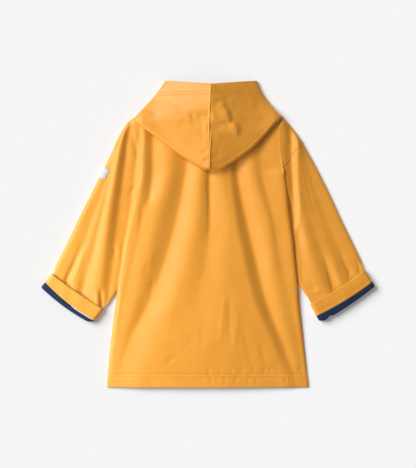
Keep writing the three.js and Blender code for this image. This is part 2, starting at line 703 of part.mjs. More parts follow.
add("back", backPanel(), "cloth");
add("front_left", flapWithSeats(frontLeft()), "cloth");
add("front_right", frontRight(), "cloth");
for (const side of ["left", "right"]) {
  add(`sleeve_${side}`, sleeve(side), "cloth");
  add(`cuff_${side}`, cuffBand(side), "cloth");
  add(`cuff_lining_${side}`, cuffLining(side), "lining");
  add(`hood_${side}`, hoodHalf(side), "cloth");
}
add("sleeve_tab", sleeveTab(), "tab");
for (let i = 0; i < SNAP.count; i++) {
  add(`snap_${i + 1}`, snapDisc(SNAP.radius, FRONT_WALL, snapY(i)), "snap");
}

export default coat;
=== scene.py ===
"""A child's hooded raincoat, laid flat with its back up and both cuffs turned up once.

Tables and functions work in millimetres. +Y runs from the hem to the hood, -X is the wearer's left.
"""

import math

import bpy
import numpy as np
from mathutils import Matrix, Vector
from mathutils.bvhtree import BVHTree


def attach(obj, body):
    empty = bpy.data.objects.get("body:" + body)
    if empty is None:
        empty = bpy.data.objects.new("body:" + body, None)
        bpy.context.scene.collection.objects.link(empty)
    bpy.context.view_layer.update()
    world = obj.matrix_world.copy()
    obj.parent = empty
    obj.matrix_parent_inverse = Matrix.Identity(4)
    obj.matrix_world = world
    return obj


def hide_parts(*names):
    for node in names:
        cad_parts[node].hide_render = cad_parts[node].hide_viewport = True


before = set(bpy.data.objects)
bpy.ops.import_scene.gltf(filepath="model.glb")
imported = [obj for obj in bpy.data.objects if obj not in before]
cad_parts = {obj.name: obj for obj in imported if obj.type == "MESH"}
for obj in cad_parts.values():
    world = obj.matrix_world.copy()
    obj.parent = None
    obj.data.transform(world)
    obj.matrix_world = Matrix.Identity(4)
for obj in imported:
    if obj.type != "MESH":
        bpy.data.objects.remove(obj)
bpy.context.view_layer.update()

MM = 0.001
SIDES = ("left", "right")
AWAY = {"left": -1, "right": 1}

# Cloth: the coated outside and the jersey lining behind it
WALL = 1.3
FRONT_WALL = 1.3
LAYER_GAP = 0.4
HEM = {"band": 25.0, "relief": 0.25, "slope": 2.5}
HEM_STITCHES = (-279.2, -285.2)

CUFF_HEIGHT = 14.2
BAND_WALL = 1.7
SLEEVE_INSET = 2.4
LINING_WALL = 1.0
LINING_STEP = 0.5  # how far the lining lies below the band's surface
LINING_INSET = 4.4
LINING_LEG = 14.0

HOOD_FOLD = 7.6
HOOD_EDGE_RADIUS = 6.5
HOOD_EDGE_LIFT = 3.5
HOOD_REST_Z = 14.2
HOOD_SHOULDER_Z = 9.6
HOOD_CORNER = {"from_x": 128, "over_x": 20}
HOOD_RAMP = {"floor_y": 270, "rest_y": 220}
HOOD_UPPER_RAMP = {"floor_y": 286, "rest_y": 180, "inwards": 30}
HOOD_CLEARANCE = 1.2
HOOD_EDGE_LEAN = 0.75  # from the way across to the hood's edge to the shortest way
HOOD_EASE = 9.0
HOOD_FACE_CUT = 36
HOOD_MOUTH_DIP = 9
HOOD_HEM = {"width": 27, "relief": 0.4, "slope": 2.0}
HOOD_STITCHES = (282, 276)
# The seam stands up on its left in the upper part, and on its right near the tip
WELT = {"width": 4.2, "relief": 1.5, "groove": 0.5, "changes_y": 168, "over_y": 40}
HOOD_BEAD = {"relief": 0.7, "at": 4.5, "width": 2.8, "below_y": 250, "over_y": 20}
HOOD_DIP_ROWS = 1.4
HOOD_DOME = 0.92
HOOD_SOFT_RIM = np.array([0.5, 0.2, 0.05])
HOOD_SLACK = 1.7
HOOD_TIP_OPEN = 0.02

EDGE_ROLL = 10
SLEEVE_ROLL = 9
SLEEVE_LIFT = 3.5
# The coat's side goes on above the underarm as a valley that fades out
VALLEY = {"z": {"left": 7.8, "right": 10.4}, "ridge_z": 12.5, "left": 55, "right": 60}
ARM_TUCK = {"z": 5.2, "below_valley": 0.5, "from_y": 40, "over_y": 60}
SLEEVE_EMERGES = {"y": -140, "span": 36}
# At the armhole the sleeve's cap lies just under the back's thinned edge
ARMHOLE = {"tuck": 0.42, "drop": 0.1, "thin": 0.95, "over": 7.0, "tucked_to": 0.07, "tucked_over": 0.05}
UNDERARM_EASE = 15

SIDE_Y = [-306, -212, -106, -12, 60, 104, 133, 182, 205, 232]
SIDE_X = {
    "left": [-202, -192.8, -179, -165.4, -149.5, -140, -134, -125.4, -128, -132],
    "right": [200, 190, 179.2, 170, 160.5, 153.5, 149.5, 144.6, 144, 150],
}
NECK_HALF = 76
# From the underarm up to the neck: points of the outline, with the grid's rows to each
SHOULDER = {
    "left": [(-140, 104), (-186, 176), (-174.5, 200), (-160, 222), (-146, 233), (-NECK_HALF, 252)],
    "right": [(149.5, 133), (188.5, 183), (175, 202), (159, 222), (146, 237), (NECK_HALF, 252)],
}
SHOULDER_ROWS = [30, 10, 9, 6, 8]
NECK_DROP = 14

# Folds of the back, left to right. x and z are given at the stations of Y, top first.
BODY_STATIONS = [150, 108, 28, -52, -132, -212, -290]
BODY_FOLDS = {
    "left edge": ([-130, -133, -143, -158, -174, -188, -196.5], [12.5, 12.8, 12.4, 11.2, 9.4, 6.8, 4.4]),
    "left trough": ([-110, -112, -129, -150, -169, -184, -194], [6, 6.2, 11.2, 10.6, 9.1, 6.9, 4.6]),
    "left crest": ([-78, -83, -107, -125, -146, -168, -190], [12.8, 13, 13.4, 12.6, 10.4, 7.4, 5]),
    "broad trough": ([-42, -48, -64, -86, -116, -156, -184], [5.2, 4.8, 4.4, 4.4, 4.9, 6, 5.4]),
    "middle crest": ([-12, -16, -22, -38, -62, -90, -124], [13, 13.2, 13.8, 14.2, 14.4, 13.8, 11]),
    "centre trough": ([5, 5, 5, -4, -22, -42, -60], [9, 8.4, 8.8, 10.8, 13, 14.4, 12]),
    "right of centre": ([26, 30, 44, 36, 30, 24, 20], [12.4, 12.4, 13.2, 14.2, 15, 15.4, 12.4]),
    "flank": ([40, 42, 52, 67, 88, 122, 154], [10.9, 11.4, 12.9, 13.2, 12.8, 11.2, 7.8]),
    "deep trough": ([57, 60, 76, 95, 115, 146, 176], [5, 4.7, 4.4, 4.3, 4.4, 4.6, 4.7]),
    "right crest": ([86, 94, 118, 130, 144, 164, 184], [11, 11.6, 12.6, 11.8, 9.6, 7, 4.6]),
    "right trough": ([104, 110, 131, 145, 163, 180, 190], [8.8, 9, 10.4, 10, 8.4, 5.8, 4.2]),
    "right edge": ([140, 142, 153, 161, 173, 186, 195], [14.4, 14, 12.8, 11.8, 9.4, 6.4, 4.4]),
}

# Folds of the arms, from the outer edge towards the body
ARM_STATIONS = [168, 38, -112]
ARM_FOLDS = {
    "left": {
        "rim": ([-186, -244, -306], [8.5, 9, 8]),
        "outer trough": ([-184, -228, -286], [9, 8.5, 6.5]),
        "outer crest": ([-182, -218, -268], [10.5, 10, 9.5]),
        "middle trough": ([-180, -212, -250], [11.5, 10, 7]),
        "main crest": ([-177, -199, -218], [13.5, 14, 11]),
        "main trough": ([-162, -178, -197], [6.4, 5.6, 5.6]),
        "inner crest": ([-150, -169, -190], [7.8, 4.9, 6.2]),
        "inner trough": ([-140, -157, -182], [7.2, 3.8, 5.4]),
    },
    "right": {
        "rim": ([192, 248, 312], [6.4, 5.6, 7]),
        "outer trough": ([189, 234, 297], [7.4, 5.8, 5.6]),
        "outer crest": ([186, 214, 275], [9.2, 8, 8.8]),
        "middle trough": ([183, 205, 258], [10.4, 9, 5.2]),
        "main crest": ([180, 188, 230], [11.6, 11.4, 10.2]),
        "main trough": ([166, 174, 196], [5.4, 5.6, 6.8]),
    },
}

# Sleeve sections from the armhole seam to the band's edge, and last the fold at the end
SLEEVE_SECTIONS = {
    "left": {
        "outer": [(-186, 176), (-211.5, 124), (-236.5, 74), (-260.5, 26), (-284, -24), (-301.5, -58),
                  (-312, -79), (-333.7, -106)],
        "inner": [(-135.2, 96.4), (-138, 56), (-149, 12), (-157.5, -34), (-166, -82), (-188, -124),
                  (-208, -150), (-230, -180)],
        "bow": [0, 0, 0, 0, 0, 1, 2, 5],
    },
    "right": {
        "outer": [(188.5, 183), (216, 132), (242, 80), (266, 28), (289.5, -20), (305.5, -54),
                  (312.5, -71), (333.8, -104)],
        "inner": [(144.2, 125.7), (149, 56), (154, 12), (160, -34), (168.6, -83), (190, -114),
                  (203.5, -139), (223, -178)],
        "bow": [0, 0, 0, 0, 0, 2, 3.5, 3],
    },
}
BAND_SECTION = 6
# The yellow band's share of the turn-up, from the outer edge to the inner one
BAND_SHARE = {"left": [0.61, 0.66, 0.70, 0.73, 0.74, 0.76], "right": [0.73, 0.72, 0.70, 0.68, 0.66, 0.64]}

# Hood sections, from the face opening to the tip of the fold
HOOD_SECTIONS = {
    "y": [306, 296, 284, 272, 260, 247, 234, 226, 214, 194, 172, 154, 140, 131, 126.5],
    "left": [-85.5, -91.5, -100.5, -110, -121, -132.5, -144, -148.5, -134, -106, -76, -52, -30, -14, -5],
    "right": [98, 102, 107.5, 115, 124, 134.5, 146, 142, 130, 113, 92, 69, 48, 34, 24],
    "seam_x": [7, 7, 7, 6, 6, 5, 5, 4, 4, 4, 3, 2, 2, 1, 1],
    "seam_z": [35.5, 37, 39, 41, 42.3, 43.3, 43.8, 43.8, 43.4, 42.2, 40, 37.2, 33, 29.5, 26.5],
}
HOOD_LOWER_START_Y = 247

# Small creases and dents that lie on the folds. Places are on a 2 mm grid that has the origin at
# (208, 234) and y towards the hem. A crease is a line of (x, y, height in mm) with its half widths
# in mm on its left and on its right, seen along the line.
GRID = 2.0
GRID_ORIGIN = (208, 234)

BODY_CREASES = [
    ([(208.4, 170, -1.2), (208.2, 186, -1.5), (208.8, 206, -1.4), (208.8, 226, -0.8), (208, 242, 0)], (7, 3)),
    ([(146, 196, 0), (150.5, 199, -0.7), (151.5, 193, -0.5), (150, 184, 0)], (5, 4)),
    ([(144, 200, 0), (142.2, 208, -0.9), (141.4, 220, -0.9), (139.5, 236, 0)], (5, 6)),
    ([(154, 248, 0), (151.5, 258, 0.6), (150, 268, 0)], (5, 5)),
    ([(148, 262, 0), (146, 270, -0.7), (144, 280, 0)], (5, 5)),
    ([(154, 276, 0), (152, 286, -0.9), (149, 298, 0)], (4, 5)),
    ([(224.5, 288, 0), (223.5, 305, 0.6), (221, 330, 0.6), (219, 350, 0)], (5, 5)),
    ([(231, 292, 0), (229.5, 308, -0.7), (229, 330, -0.8), (231, 346, 0)], (5, 4)),
    ([(238, 308, 0), (237, 320, 0.5), (234, 340, 0.4), (233, 352, 0)], (5, 4)),
    ([(241, 318, 0), (245, 338, -0.5), (251, 364, -0.3)], (6, 5)),
    ([(254, 334, 0), (256, 348, 0.5), (258, 362, 0)], (5, 4)),
    ([(260, 340, 0), (263, 356, -0.6), (268, 372, -0.4)], (5, 4)),
    ([(204, 320, 0), (202, 338, -0.5), (200, 356, 0)], (6, 6)),
    ([(162, 367, 0), (170, 360, -0.7), (180, 354, 0)], (6, 5)),
    ([(150, 345, 0), (158, 338, -0.4), (166, 330, 0)], (8, 8)),
    ([(180, 352, 0), (190, 344, -0.4), (196, 330, 0)], (8, 8)),
    ([(120, 352, 0), (128, 332, -0.5), (136, 312, 0)], (8, 8)),
]
ARM_CREASES = {
    "left": [
        ([(84, 238, 0), (79.5, 250, -1.0), (73.5, 265, -1.8), (66, 280, -2.2)], (7, 4)),
        ([(90, 238, 0), (84.5, 252, 0.6), (78.5, 266, 0.9), (72, 280, 1.0)], (6, 6)),
        ([(88, 230, 0), (86, 250, -0.6), (84.5, 268, -0.9), (82, 290, -0.8)], (8, 7)),
        ([(100.5, 284, 0), (101.5, 294, -1.8), (103, 306, -2.2)], (3.5, 4.5)),
        ([(97, 286, 0), (97.5, 296, 0.9), (99, 306, 0.8)], (4, 4)),
        ([(107, 286, 0), (106, 296, 0.8), (106, 304, 0)], (4, 4)),
        ([(140, 184, 0), (134, 189, -0.9), (126, 196, 0)], (4, 4)),
        ([(138, 178, 0), (132, 184, 0.5), (124, 189, 0)], (4, 4)),
        ([(118, 240, 0), (119.5, 246, 1.0), (119, 262, 0.8), (116, 280, 0)], (5, 5)),
        ([(113, 246, 0), (115, 252, -0.8), (114, 262, 0)], (4, 4)),
        ([(96, 190, 0), (92, 214, -0.5), (84, 240, 0)], (8, 8)),
    ],
    "right": [
        ([(298, 168, 0), (296.5, 184, 0.3), (299, 203, 0.9), (298, 222, 1.8), (295.5, 238, 0)], (6, 6)),
        ([(288, 190, 0), (290.5, 206, -1.8), (293.5, 220, -2.2), (294, 234, 0)], (5, 4)),
        ([(322, 250, 0), (327, 268, -1.0), (332, 288, -1.6)], (5, 4)),
        ([(330, 250, 0), (335, 268, 0.7), (339, 284, 0.9)], (6, 6)),
        ([(338, 246, 0), (344, 262, -1.0), (351, 276, -1.4)], (6, 5)),
        ([(308, 286, 0), (313, 287, -0.8), (317, 292, 0)], (5, 5)),
        ([(310, 294, 0), (316, 292, 0.6), (322, 288, 0)], (5, 5)),
        ([(300, 262, 0), (302, 274, -0.8), (304, 286, 0)], (4, 6)),
        ([(355, 258, 0), (357.5, 264, -0.9), (360, 271, -1.0)], (4, 3)),
    ],
}
WING_CREASES = [
    ([(131, 126, 0), (133.5, 138, -0.9), (137, 152, -1.0), (140, 170, 0)], (3, 4)),
    ([(128, 130, 0), (129, 145, 0.6), (132, 162, 0)], (5, 5)),
    ([(139, 184, 0), (135, 187, -0.8), (130, 192, -0.6)], (4, 4)),
    ([(284, 124, 0), (286, 140, 0.8), (292, 156, 0)], (5, 5)),
]
HOOD_CREASES = [
    (
        [(189, 120, -0.6), (194, 119, -2.4), (201, 118.5, -3.6), (208, 117.5, -3.4), (214, 116.5, 0)],
        (8.5, 17),
    ),
    ([(192.5, 121, 0), (192.5, 116, -0.8), (193, 112, 0)], (6, 4)),
    ([(218, 103, 0.4), (222.5, 108, 3.6), (226.5, 114.5, 4.8), (228, 120.5, 3.4), (226, 125, 0)], (6, 14)),
    ([(206, 128.5, 0), (211, 128, -2.0), (218, 127.5, -2.6), (225, 126, -1.8), (231, 122, 0)], (6, 11)),
    ([(230, 124, 0.6), (235, 127, 3.0), (236.5, 132, 2.8), (232, 137, 0)], (6, 12)),
    ([(212, 101, 0.6), (219, 98.5, 0.9), (229, 97.5, 0)], (5, 6)),
    ([(230, 98, 0), (232, 104, 0.9), (229, 110, 0)], (5, 7)),
    ([(240, 98, 0), (248, 97, 0.7), (253, 102, 0.8), (250, 110, 0)], (6, 9)),
    ([(212, 136, 0.6), (218, 137, 1.0), (224, 143, 0)], (6, 9)),
    ([(211, 158, -0.6), (217, 157, -1.2), (223, 153, 0)], (8, 6)),
    ([(200, 152, 0), (205, 152, -1.2), (210, 151, -0.9)], (4, 5)),
    ([(202, 161, 0), (206, 161, -1.0), (210, 160, -0.6)], (3.5, 4)),
    ([(202, 118, 0), (202.3, 130, -0.5), (202, 144, 0)], (4, 4)),
    ([(205.5, 118, 0), (206, 140, 0.4), (205.5, 156, 0)], (4, 4)),
    ([(176, 132, 0), (184, 127, -0.6), (190, 121, 0)], (9, 9)),
    ([(146, 106, 0), (154, 114, -0.8), (162, 119, 0)], (8, 8)),
    ([(150, 118, 0), (158, 128, -0.6), (170, 138, 0)], (9, 9)),
    ([(158, 96, 0), (168, 103, -0.5), (180, 106, 0)], (10, 10)),
    ([(238, 112, 0), (246, 122, -0.7), (250, 134, 0)], (10, 10)),
    ([(252, 96, 0), (258, 106, -0.8), (260, 118, 0)], (10, 10)),
]


# Curves and tables

def clamp(value, low=0.0, high=1.0):
    return np.minimum(np.maximum(value, low), high)


def mix(a, b, t):
    return a + (b - a) * t


def smooth(t):
    t = clamp(t)
    return t * t * (3 - 2 * t)


def through(stations, values, y):
    """A value at y on the quadratic through three stations."""
    (a, b, c), (fa, fb, fc) = stations, values
    return (
        fa * (y - b) * (y - c) / ((a - b) * (a - c))
        + fb * (y - a) * (y - c) / ((b - a) * (b - c))
        + fc * (y - a) * (y - b) / ((c - a) * (c - b))
    )


def smooth_at(values, r):
    """Values at fractional rows r of a table, on a smooth curve through its rows."""
    v = np.asarray(values, float)
    r = np.asarray(r, float)
    padded = np.concatenate([[2 * v[0] - v[1]], v, [2 * v[-1] - v[-2]]])
    i = clamp(np.floor(r), 0, len(v) - 2).astype(int)
    t = r - i
    before, a, b, after = (padded[i + k] for k in range(4))
    m0, m1 = (b - before) / 2, (after - a) / 2
    t2, t3 = t * t, t * t * t
    inside = a * (2 * t3 - 3 * t2 + 1) + m0 * (t3 - 2 * t2 + t) + b * (3 * t2 - 2 * t3) + m1 * (t3 - t2)
    ahead = a + (b - a) * t
    return np.where((t < 0) | (t > 1), ahead, inside)


def rows_at(stations, y):
    """Fractional rows of a table at y. Its stations run from the hood towards the hem."""
    return np.interp(-y, [-station for station in stations], range(len(stations)))


def side_x(side, y):
    return smooth_at(SIDE_X[side], np.interp(y, SIDE_Y, range(len(SIDE_Y))))


def roll(distance, radius):
    """How far the cloth has risen, 0 to 1, at a distance from the edge it rolls over."""
    t = clamp(distance / radius)
    return np.sqrt(1 - (1 - t) ** 2)


def along_path(path, x, y):
    """For each part of a path: the share along it nearest to x, y, the way from there, and its side."""
    for (ax, ay, *_), (bx, by, *_) in zip(path, path[1:]):
        dx, dy = bx - ax, by - ay
        t = clamp(((x - ax) * dx + (y - ay) * dy) / (dx * dx + dy * dy))
        ex, ey = x - ax - dx * t, y - ay - dy * t
        yield t, np.hypot(ex, ey), dx * ey - dy * ex > 0


def distance_to(path, x, y):
    nearest = np.full(np.shape(x), np.inf)
    for _, distance, _ in along_path(path, x, y):
        nearest = np.minimum(nearest, distance)
    return nearest


def on_plan(x, y):
    return (x - GRID_ORIGIN[0]) * GRID, (GRID_ORIGIN[1] - y) * GRID


NEAR = 0.5  # mm squared: nearer than this, one part of a crease counts alone


def creased(creases, x, y):
    """Height that a list of creases adds at x, y."""
    total = np.zeros(np.shape(x))
    for line, (left, right) in creases:
        points = [(*on_plan(px, py), h) for px, py, h in line]
        nearest = np.full(np.shape(x), np.inf)
        height, width, shares = (np.zeros(np.shape(x)) for _ in range(3))
        for i, (t, distance, on_left) in enumerate(along_path(points, x, y)):
            nearest = np.minimum(nearest, distance)
            share = 1 / (distance**2 + NEAR) ** 2
            height = height + share * mix(points[i][2], points[i + 1][2], smooth(t))
            width = width + share * np.where(on_left, left, right)
            shares = shares + share
        total = total + height / shares * np.exp(-((nearest * shares / width) ** 2))
    return total


# Seed, height and length of each cloth's gentle waves
WAVES = {
    "back": (3, 0.16, 46), "sleeve": (11, 0.14, 38), "cuff": (17, 0.22, 34), "hood": (23, 0.22, 44),
    "front": (31, 0.12, 40),
}


def waves(x, y, cloth, count=9):
    """Gentle unevenness: waves of random directions, up to about the cloth's height."""
    seed, height, length = WAVES[cloth]
    random = np.random.default_rng(seed)
    total = np.zeros(np.shape(x))
    for _ in range(count):
        angle, phase = random.uniform(0, math.tau, 2)
        k = math.tau / (length * random.uniform(0.6, 1.7))
        total = total + np.sin(k * (x * math.cos(angle) + y * math.sin(angle)) + phase)
    return total * height / math.sqrt(count)


SHARPNESS = 0.45  # of the troughs, against the rounder crests
SOFTENING = 2.4


def across_lines(xs, zs, x):
    """Height between crest and trough lines, level along each of them."""
    z = zs[0] + np.zeros(np.shape(x))
    for i in range(1, len(xs)):
        t = clamp((x - xs[i - 1]) / np.maximum(xs[i] - xs[i - 1], 0.01))
        sharp = np.where(zs[i] > zs[i - 1], np.sin(math.pi * t / 2), 1 - np.cos(math.pi * t / 2))
        share = mix((1 - np.cos(math.pi * t)) / 2, sharp, SHARPNESS)
        z = np.where(x > xs[i - 1], mix(zs[i - 1], zs[i], share), z)
    return z


def height_across(xs, zs, x):
    left, middle, right = (across_lines(xs, zs, x + d) for d in (-SOFTENING, 0, SOFTENING))
    return (left + 2 * middle + right) / 4


# Heights of the coat's upper side

def tuck_z(side, y):
    """Height of the sleeve where it goes under the body's edge."""
    risen = smooth((y - ARM_TUCK["from_y"]) / ARM_TUCK["over_y"])
    return mix(ARM_TUCK["z"], VALLEY["z"][side] - ARM_TUCK["below_valley"], risen)


# The arms' tables hold to this far above their first station, for x and for z
ARM_TABLE_ENDS = (80, 30)


def arm_height(side, x, y, inner_z):
    x_at, z_at = (np.minimum(y, ARM_STATIONS[0] + above) for above in ARM_TABLE_ENDS)
    xs = [through(ARM_STATIONS, fold[0], x_at) for fold in ARM_FOLDS[side].values()]
    zs = [through(ARM_STATIONS, fold[1], z_at) for fold in ARM_FOLDS[side].values()]
    xs.append(side_x(side, y))
    zs.append(inner_z + np.zeros(np.shape(y)))
    if side == "right":
        xs.reverse()
        zs.reverse()
    return height_across(xs, zs, x)


def valley_height(side, y):
    above = smooth((y - SHOULDER[side][0][1]) / VALLEY[side])
    return mix(VALLEY["z"][side], VALLEY["ridge_z"], above)


def body_height(x, y):
    rows = rows_at(BODY_STATIONS, y)
    xs = [smooth_at(fold[0], rows) for fold in BODY_FOLDS.values()]
    zs = [smooth_at(fold[1], rows) for fold in BODY_FOLDS.values()]
    for side, at in (("left", 0), ("right", len(xs))):
        crest = zs[0] if side == "left" else zs[-1]
        xs.insert(at, side_x(side, y))
        eased = smooth((SHOULDER[side][0][1] - y) / UNDERARM_EASE)
        zs.insert(at, mix(valley_height(side, y), crest, eased))
    return height_across(xs, zs, x)


def hood_underside(x, y, slope=HOOD_RAMP):
    corner = smooth((np.abs(x) - HOOD_CORNER["from_x"]) / HOOD_CORNER["over_x"])
    rest = mix(HOOD_REST_Z, HOOD_SHOULDER_Z, corner)
    return rest * smooth((slope["floor_y"] - y) / (slope["floor_y"] - slope["rest_y"]))


def under_hood(x, y):
    """1 where the hood lies over the coat, 0 clear of it."""
    rows = rows_at(HOOD_SECTIONS["y"], y)
    left, right = (smooth_at(HOOD_SECTIONS[side], rows) for side in SIDES)
    inside = np.minimum(x - left, right - x) * HOOD_EDGE_LEAN
    inside = np.where(y < HOOD_SECTIONS["y"][-1], np.minimum(inside, y - HOOD_SECTIONS["y"][-1]), inside)
    return smooth(inside / HOOD_EASE + 1)


def side_path(side):
    top = SHOULDER[side][0][1]
    return [(float(side_x(side, y)), float(y)) for y in np.linspace(SIDE_Y[0], top - UNDERARM_EASE, 40)]


SIDE_PATHS = {side: side_path(side) for side in SIDES}
ON_FRONT = FRONT_WALL + LAYER_GAP + WALL
PUCKERS = {
    "seed": 5, "from": -190, "to": 196, "spacing": 9.0, "left": 0.2, "right": 1.1, "changes_x": -10,
    "rows": [-272.0, -292.0],
}


# Depth and half width of the groove under a stitch row
GROOVES = {"back": (0.38, 1.1), "hood": (0.38, 1.1), "cuff": (0.3, 0.8), "front": (0.25, 1.0)}


def stitch_grooves(cloth, rows, y):
    depth, width = GROOVES[cloth]
    return sum(-depth * np.exp(-(((y - row) / width) ** 2)) for row in rows)


def puckers(x, y):
    """Short ripples that the hem's stitches draw in, stronger towards the right."""
    random = np.random.default_rng(PUCKERS["seed"])
    total = np.zeros(np.shape(x))
    for x0 in np.arange(PUCKERS["from"], PUCKERS["to"], PUCKERS["spacing"]):
        at = x0 + random.uniform(-3.5, 3.5)
        most = PUCKERS["left" if x0 < PUCKERS["changes_x"] else "right"]
        strength = most * random.uniform(0.35, 1.0)
        lean, width = random.uniform(-0.25, 0.25), random.uniform(1.8, 3.2)
        middle, reach = random.choice(PUCKERS["rows"]), random.uniform(5, 9)
        beside = (x - at - lean * (y - middle)) / width
        total = total - strength * np.exp(-(beside**2)) * np.exp(-(((y - middle) / reach) ** 2))
    return total


def back_top(x, y):
    z = np.zeros(np.shape(x))
    for side in SIDES:
        here = (x < 0) == (side == "left")
        outside = AWAY[side] * (x - side_x(side, y)) > 0
        folds = np.where(outside, arm_height(side, x, y, valley_height(side, y)), body_height(x, y))
        folds = folds + creased(BODY_CREASES, x, y) * ~outside + creased(WING_CREASES, x, y)
        over_sleeve = smooth((y - SLEEVE_EMERGES["y"]) / SLEEVE_EMERGES["span"])
        base = mix(ON_FRONT, tuck_z(side, y) + 2 * LAYER_GAP + WALL, over_sleeve)
        folds = mix(base, folds, roll(distance_to(SIDE_PATHS[side], x, y), EDGE_ROLL))
        folds = mix(ON_FRONT, folds, roll(distance_to(SHOULDER[side][1:], x, y), EDGE_ROLL))
        z = np.where(here, folds, z)
    z = z + waves(x, y, "back") + puckers(x, y)
    z = mix(z, np.minimum(z, hood_underside(x, y) - HOOD_CLEARANCE), under_hood(x, y))
    z = np.maximum(z, ON_FRONT)
    hem_top = SIDE_Y[0] + HEM["band"]
    z = z + HEM["relief"] * smooth((hem_top - y) / HEM["slope"])
    return z + stitch_grooves("back", HEM_STITCHES, y)


# Meshes

SHARP_ANGLE = 55  # degrees


def signed_volume(vertices, quads):
    a, b, c, d = (vertices[quads[:, k]] for k in range(4))
    return float(np.sum(np.cross(a, b) * c) + np.sum(np.cross(a, c) * d)) / 6


def shell_faces(rows, columns, wraps):
    """Quads of a closed wall between two grids, and for each whether it is on the inner grid."""
    spans = columns if wraps else columns - 1
    r, c = np.meshgrid(np.arange(rows - 1), np.arange(spans), indexing="ij")
    r, c = r.ravel(), c.ravel()
    n = (c + 1) % columns
    a, b, d, e = r * columns + c, r * columns + n, (r + 1) * columns + n, (r + 1) * columns + c
    shift = rows * columns
    outer = np.stack([a, b, d, e], 1)
    inner = np.stack([a, e, d, b], 1) + shift
    c = np.arange(spans)
    n = (c + 1) % columns
    last = (rows - 1) * columns
    rims = [np.stack([c, c + shift, n + shift, n], 1)]
    rims.append(np.stack([c, n, n + shift, c + shift], 1) + last)
    if not wraps:
        r = np.arange(rows - 1) * columns
        rims.append(np.stack([r, r + columns, r + columns + shift, r + shift], 1))
        r = r + columns - 1
        rims.append(np.stack([r, r + shift, r + columns + shift, r + columns], 1))
    rim = np.concatenate(rims)
    quads = np.concatenate([outer, inner, rim])
    kinds = np.concatenate([np.zeros(len(outer), int), np.ones(len(inner), int), np.zeros(len(rim), int)])
    return quads, kinds


def add_object(name, data):
    made = bpy.data.objects.new(name, data)
    bpy.context.scene.collection.objects.link(made)
    return made


def add_mesh(name, vertices, faces, materials, kinds=None, stripe=None, sharp=SHARP_ANGLE):
    mesh = bpy.data.meshes.new(name)
    mesh.from_pydata((np.asarray(vertices) * MM).tolist(), [], faces)
    for material in materials:
        mesh.materials.append(material)
    if kinds is not None and len(materials) > 1:
        mesh.polygons.foreach_set("material_index", np.asarray(kinds, dtype=np.int32))
    mesh.polygons.foreach_set("use_smooth", np.ones(len(mesh.polygons), dtype=bool))
    if stripe is not None:
        layer = mesh.attributes.new("stripe", "FLOAT", "POINT")
        layer.data.foreach_set("value", np.asarray(stripe, dtype=np.float32))
    if sharp:
        mesh.set_sharp_from_angle(angle=math.radians(sharp))
    mesh.update()
    return add_object(name, mesh)


def add_shell(name, outer, inner, materials, wraps=False, stripe=None):
    """A sheet of cloth between an outer and an inner grid of points, closed round its rims."""
    outer, inner = np.asarray(outer, float), np.asarray(inner, float)
    rows, columns = outer.shape[:2]
    vertices = np.concatenate([outer.reshape(-1, 3), inner.reshape(-1, 3)])
    quads, kinds = shell_faces(rows, columns, wraps)
    if signed_volume(vertices, quads) < 0:
        quads = quads[:, ::-1]
    if stripe is None:
        stripe = outer[..., 1]
    return add_mesh(name, vertices, quads.tolist(), materials, kinds, np.tile(np.ravel(stripe), 2))


# Materials

COAT_LIGHT = (0.88, 0.366, 0.036)
COAT_DEEP = (0.84, 0.338, 0.030)
# Painted highlight: rounded edges and crests of the coat are mixed towards this lighter, whiter colour
COAT_EDGE_HIGHLIGHT = (0.92, 0.43, 0.075)
NAVY_DEEP = (0.006, 0.018, 0.052)
NAVY_LIGHT = (0.013, 0.035, 0.092)
STRIPE_WHITE = (0.72, 0.73, 0.76)
STRIPE_PITCH = 24.0
STRIPE_HALF = 0.6
RAGGED = 0.12  # of the stripe's edges, in mm
TAB_DEEP, TAB_LIGHT = (0.50, 0.505, 0.56), (0.64, 0.645, 0.70)
BLACK, WHITE = (0, 0, 0), (1, 1, 1)


class Look:
    """A material made of nodes round its Principled shader. Its methods give a node's result."""

    def __init__(self, name):
        self.material = bpy.data.materials.new(name)
        self.material.use_nodes = True
        self.shader = self.material.node_tree.nodes["Principled BSDF"]
        self.coords = self.add("TexCoord").outputs["Object"]

    def plug(self, value, socket):
        """Give a socket a plain value, or link another node's result to it."""
        if isinstance(value, bpy.types.NodeSocket):
            self.material.node_tree.links.new(value, socket)
        else:
            socket.default_value = value

    def feed(self, node, **inputs):
        for key, value in inputs.items():
            self.plug(value, node.inputs[key.replace("_", " ")])
        return node

    def add(self, kind, **inputs):
        return self.feed(self.material.node_tree.nodes.new(f"ShaderNode{kind}"), **inputs)

    def texture(self, kind, output, **inputs):
        return self.add(f"Tex{kind}", **inputs, Vector=self.coords).outputs[output]

    def noise(self, scale, detail, roughness):
        return self.texture("Noise", "Fac", Scale=scale, Detail=detail, Roughness=roughness)

    def ramp(self, source, low, high, a, b):
        """A colour between a and b as the source goes from low to high."""
        made = self.add("ValToRGB", Fac=source)
        for stop, position, colour in zip(made.color_ramp.elements, (low, high), (a, b)):
            stop.position = position
            stop.color = (*colour, 1)
        return made.outputs["Color"]

    def rescale(self, source, low, high):
        return self.add("MapRange", To_Min=low, To_Max=high, Value=source).outputs["Result"]

    def calculate(self, operation, a, b):
        made = self.add("Math")
        made.operation = operation
        self.plug(a, made.inputs[0])
        self.plug(b, made.inputs[1])
        return made.outputs["Value"]

    def blend(self, share, a, b):
        made = self.add("Mix")
        made.data_type = "RGBA"
        return self.feed(made, Factor=share, A=a, B=(*b, 1)).outputs["Result"]

    def bump(self, height, strength, distance, **before):
        made = self.add("Bump", Strength=strength, Distance=distance, Height=height, **before)
        return made.outputs["Normal"]

    def finish(self, **inputs):
        self.feed(self.shader, **inputs)
        return self.material


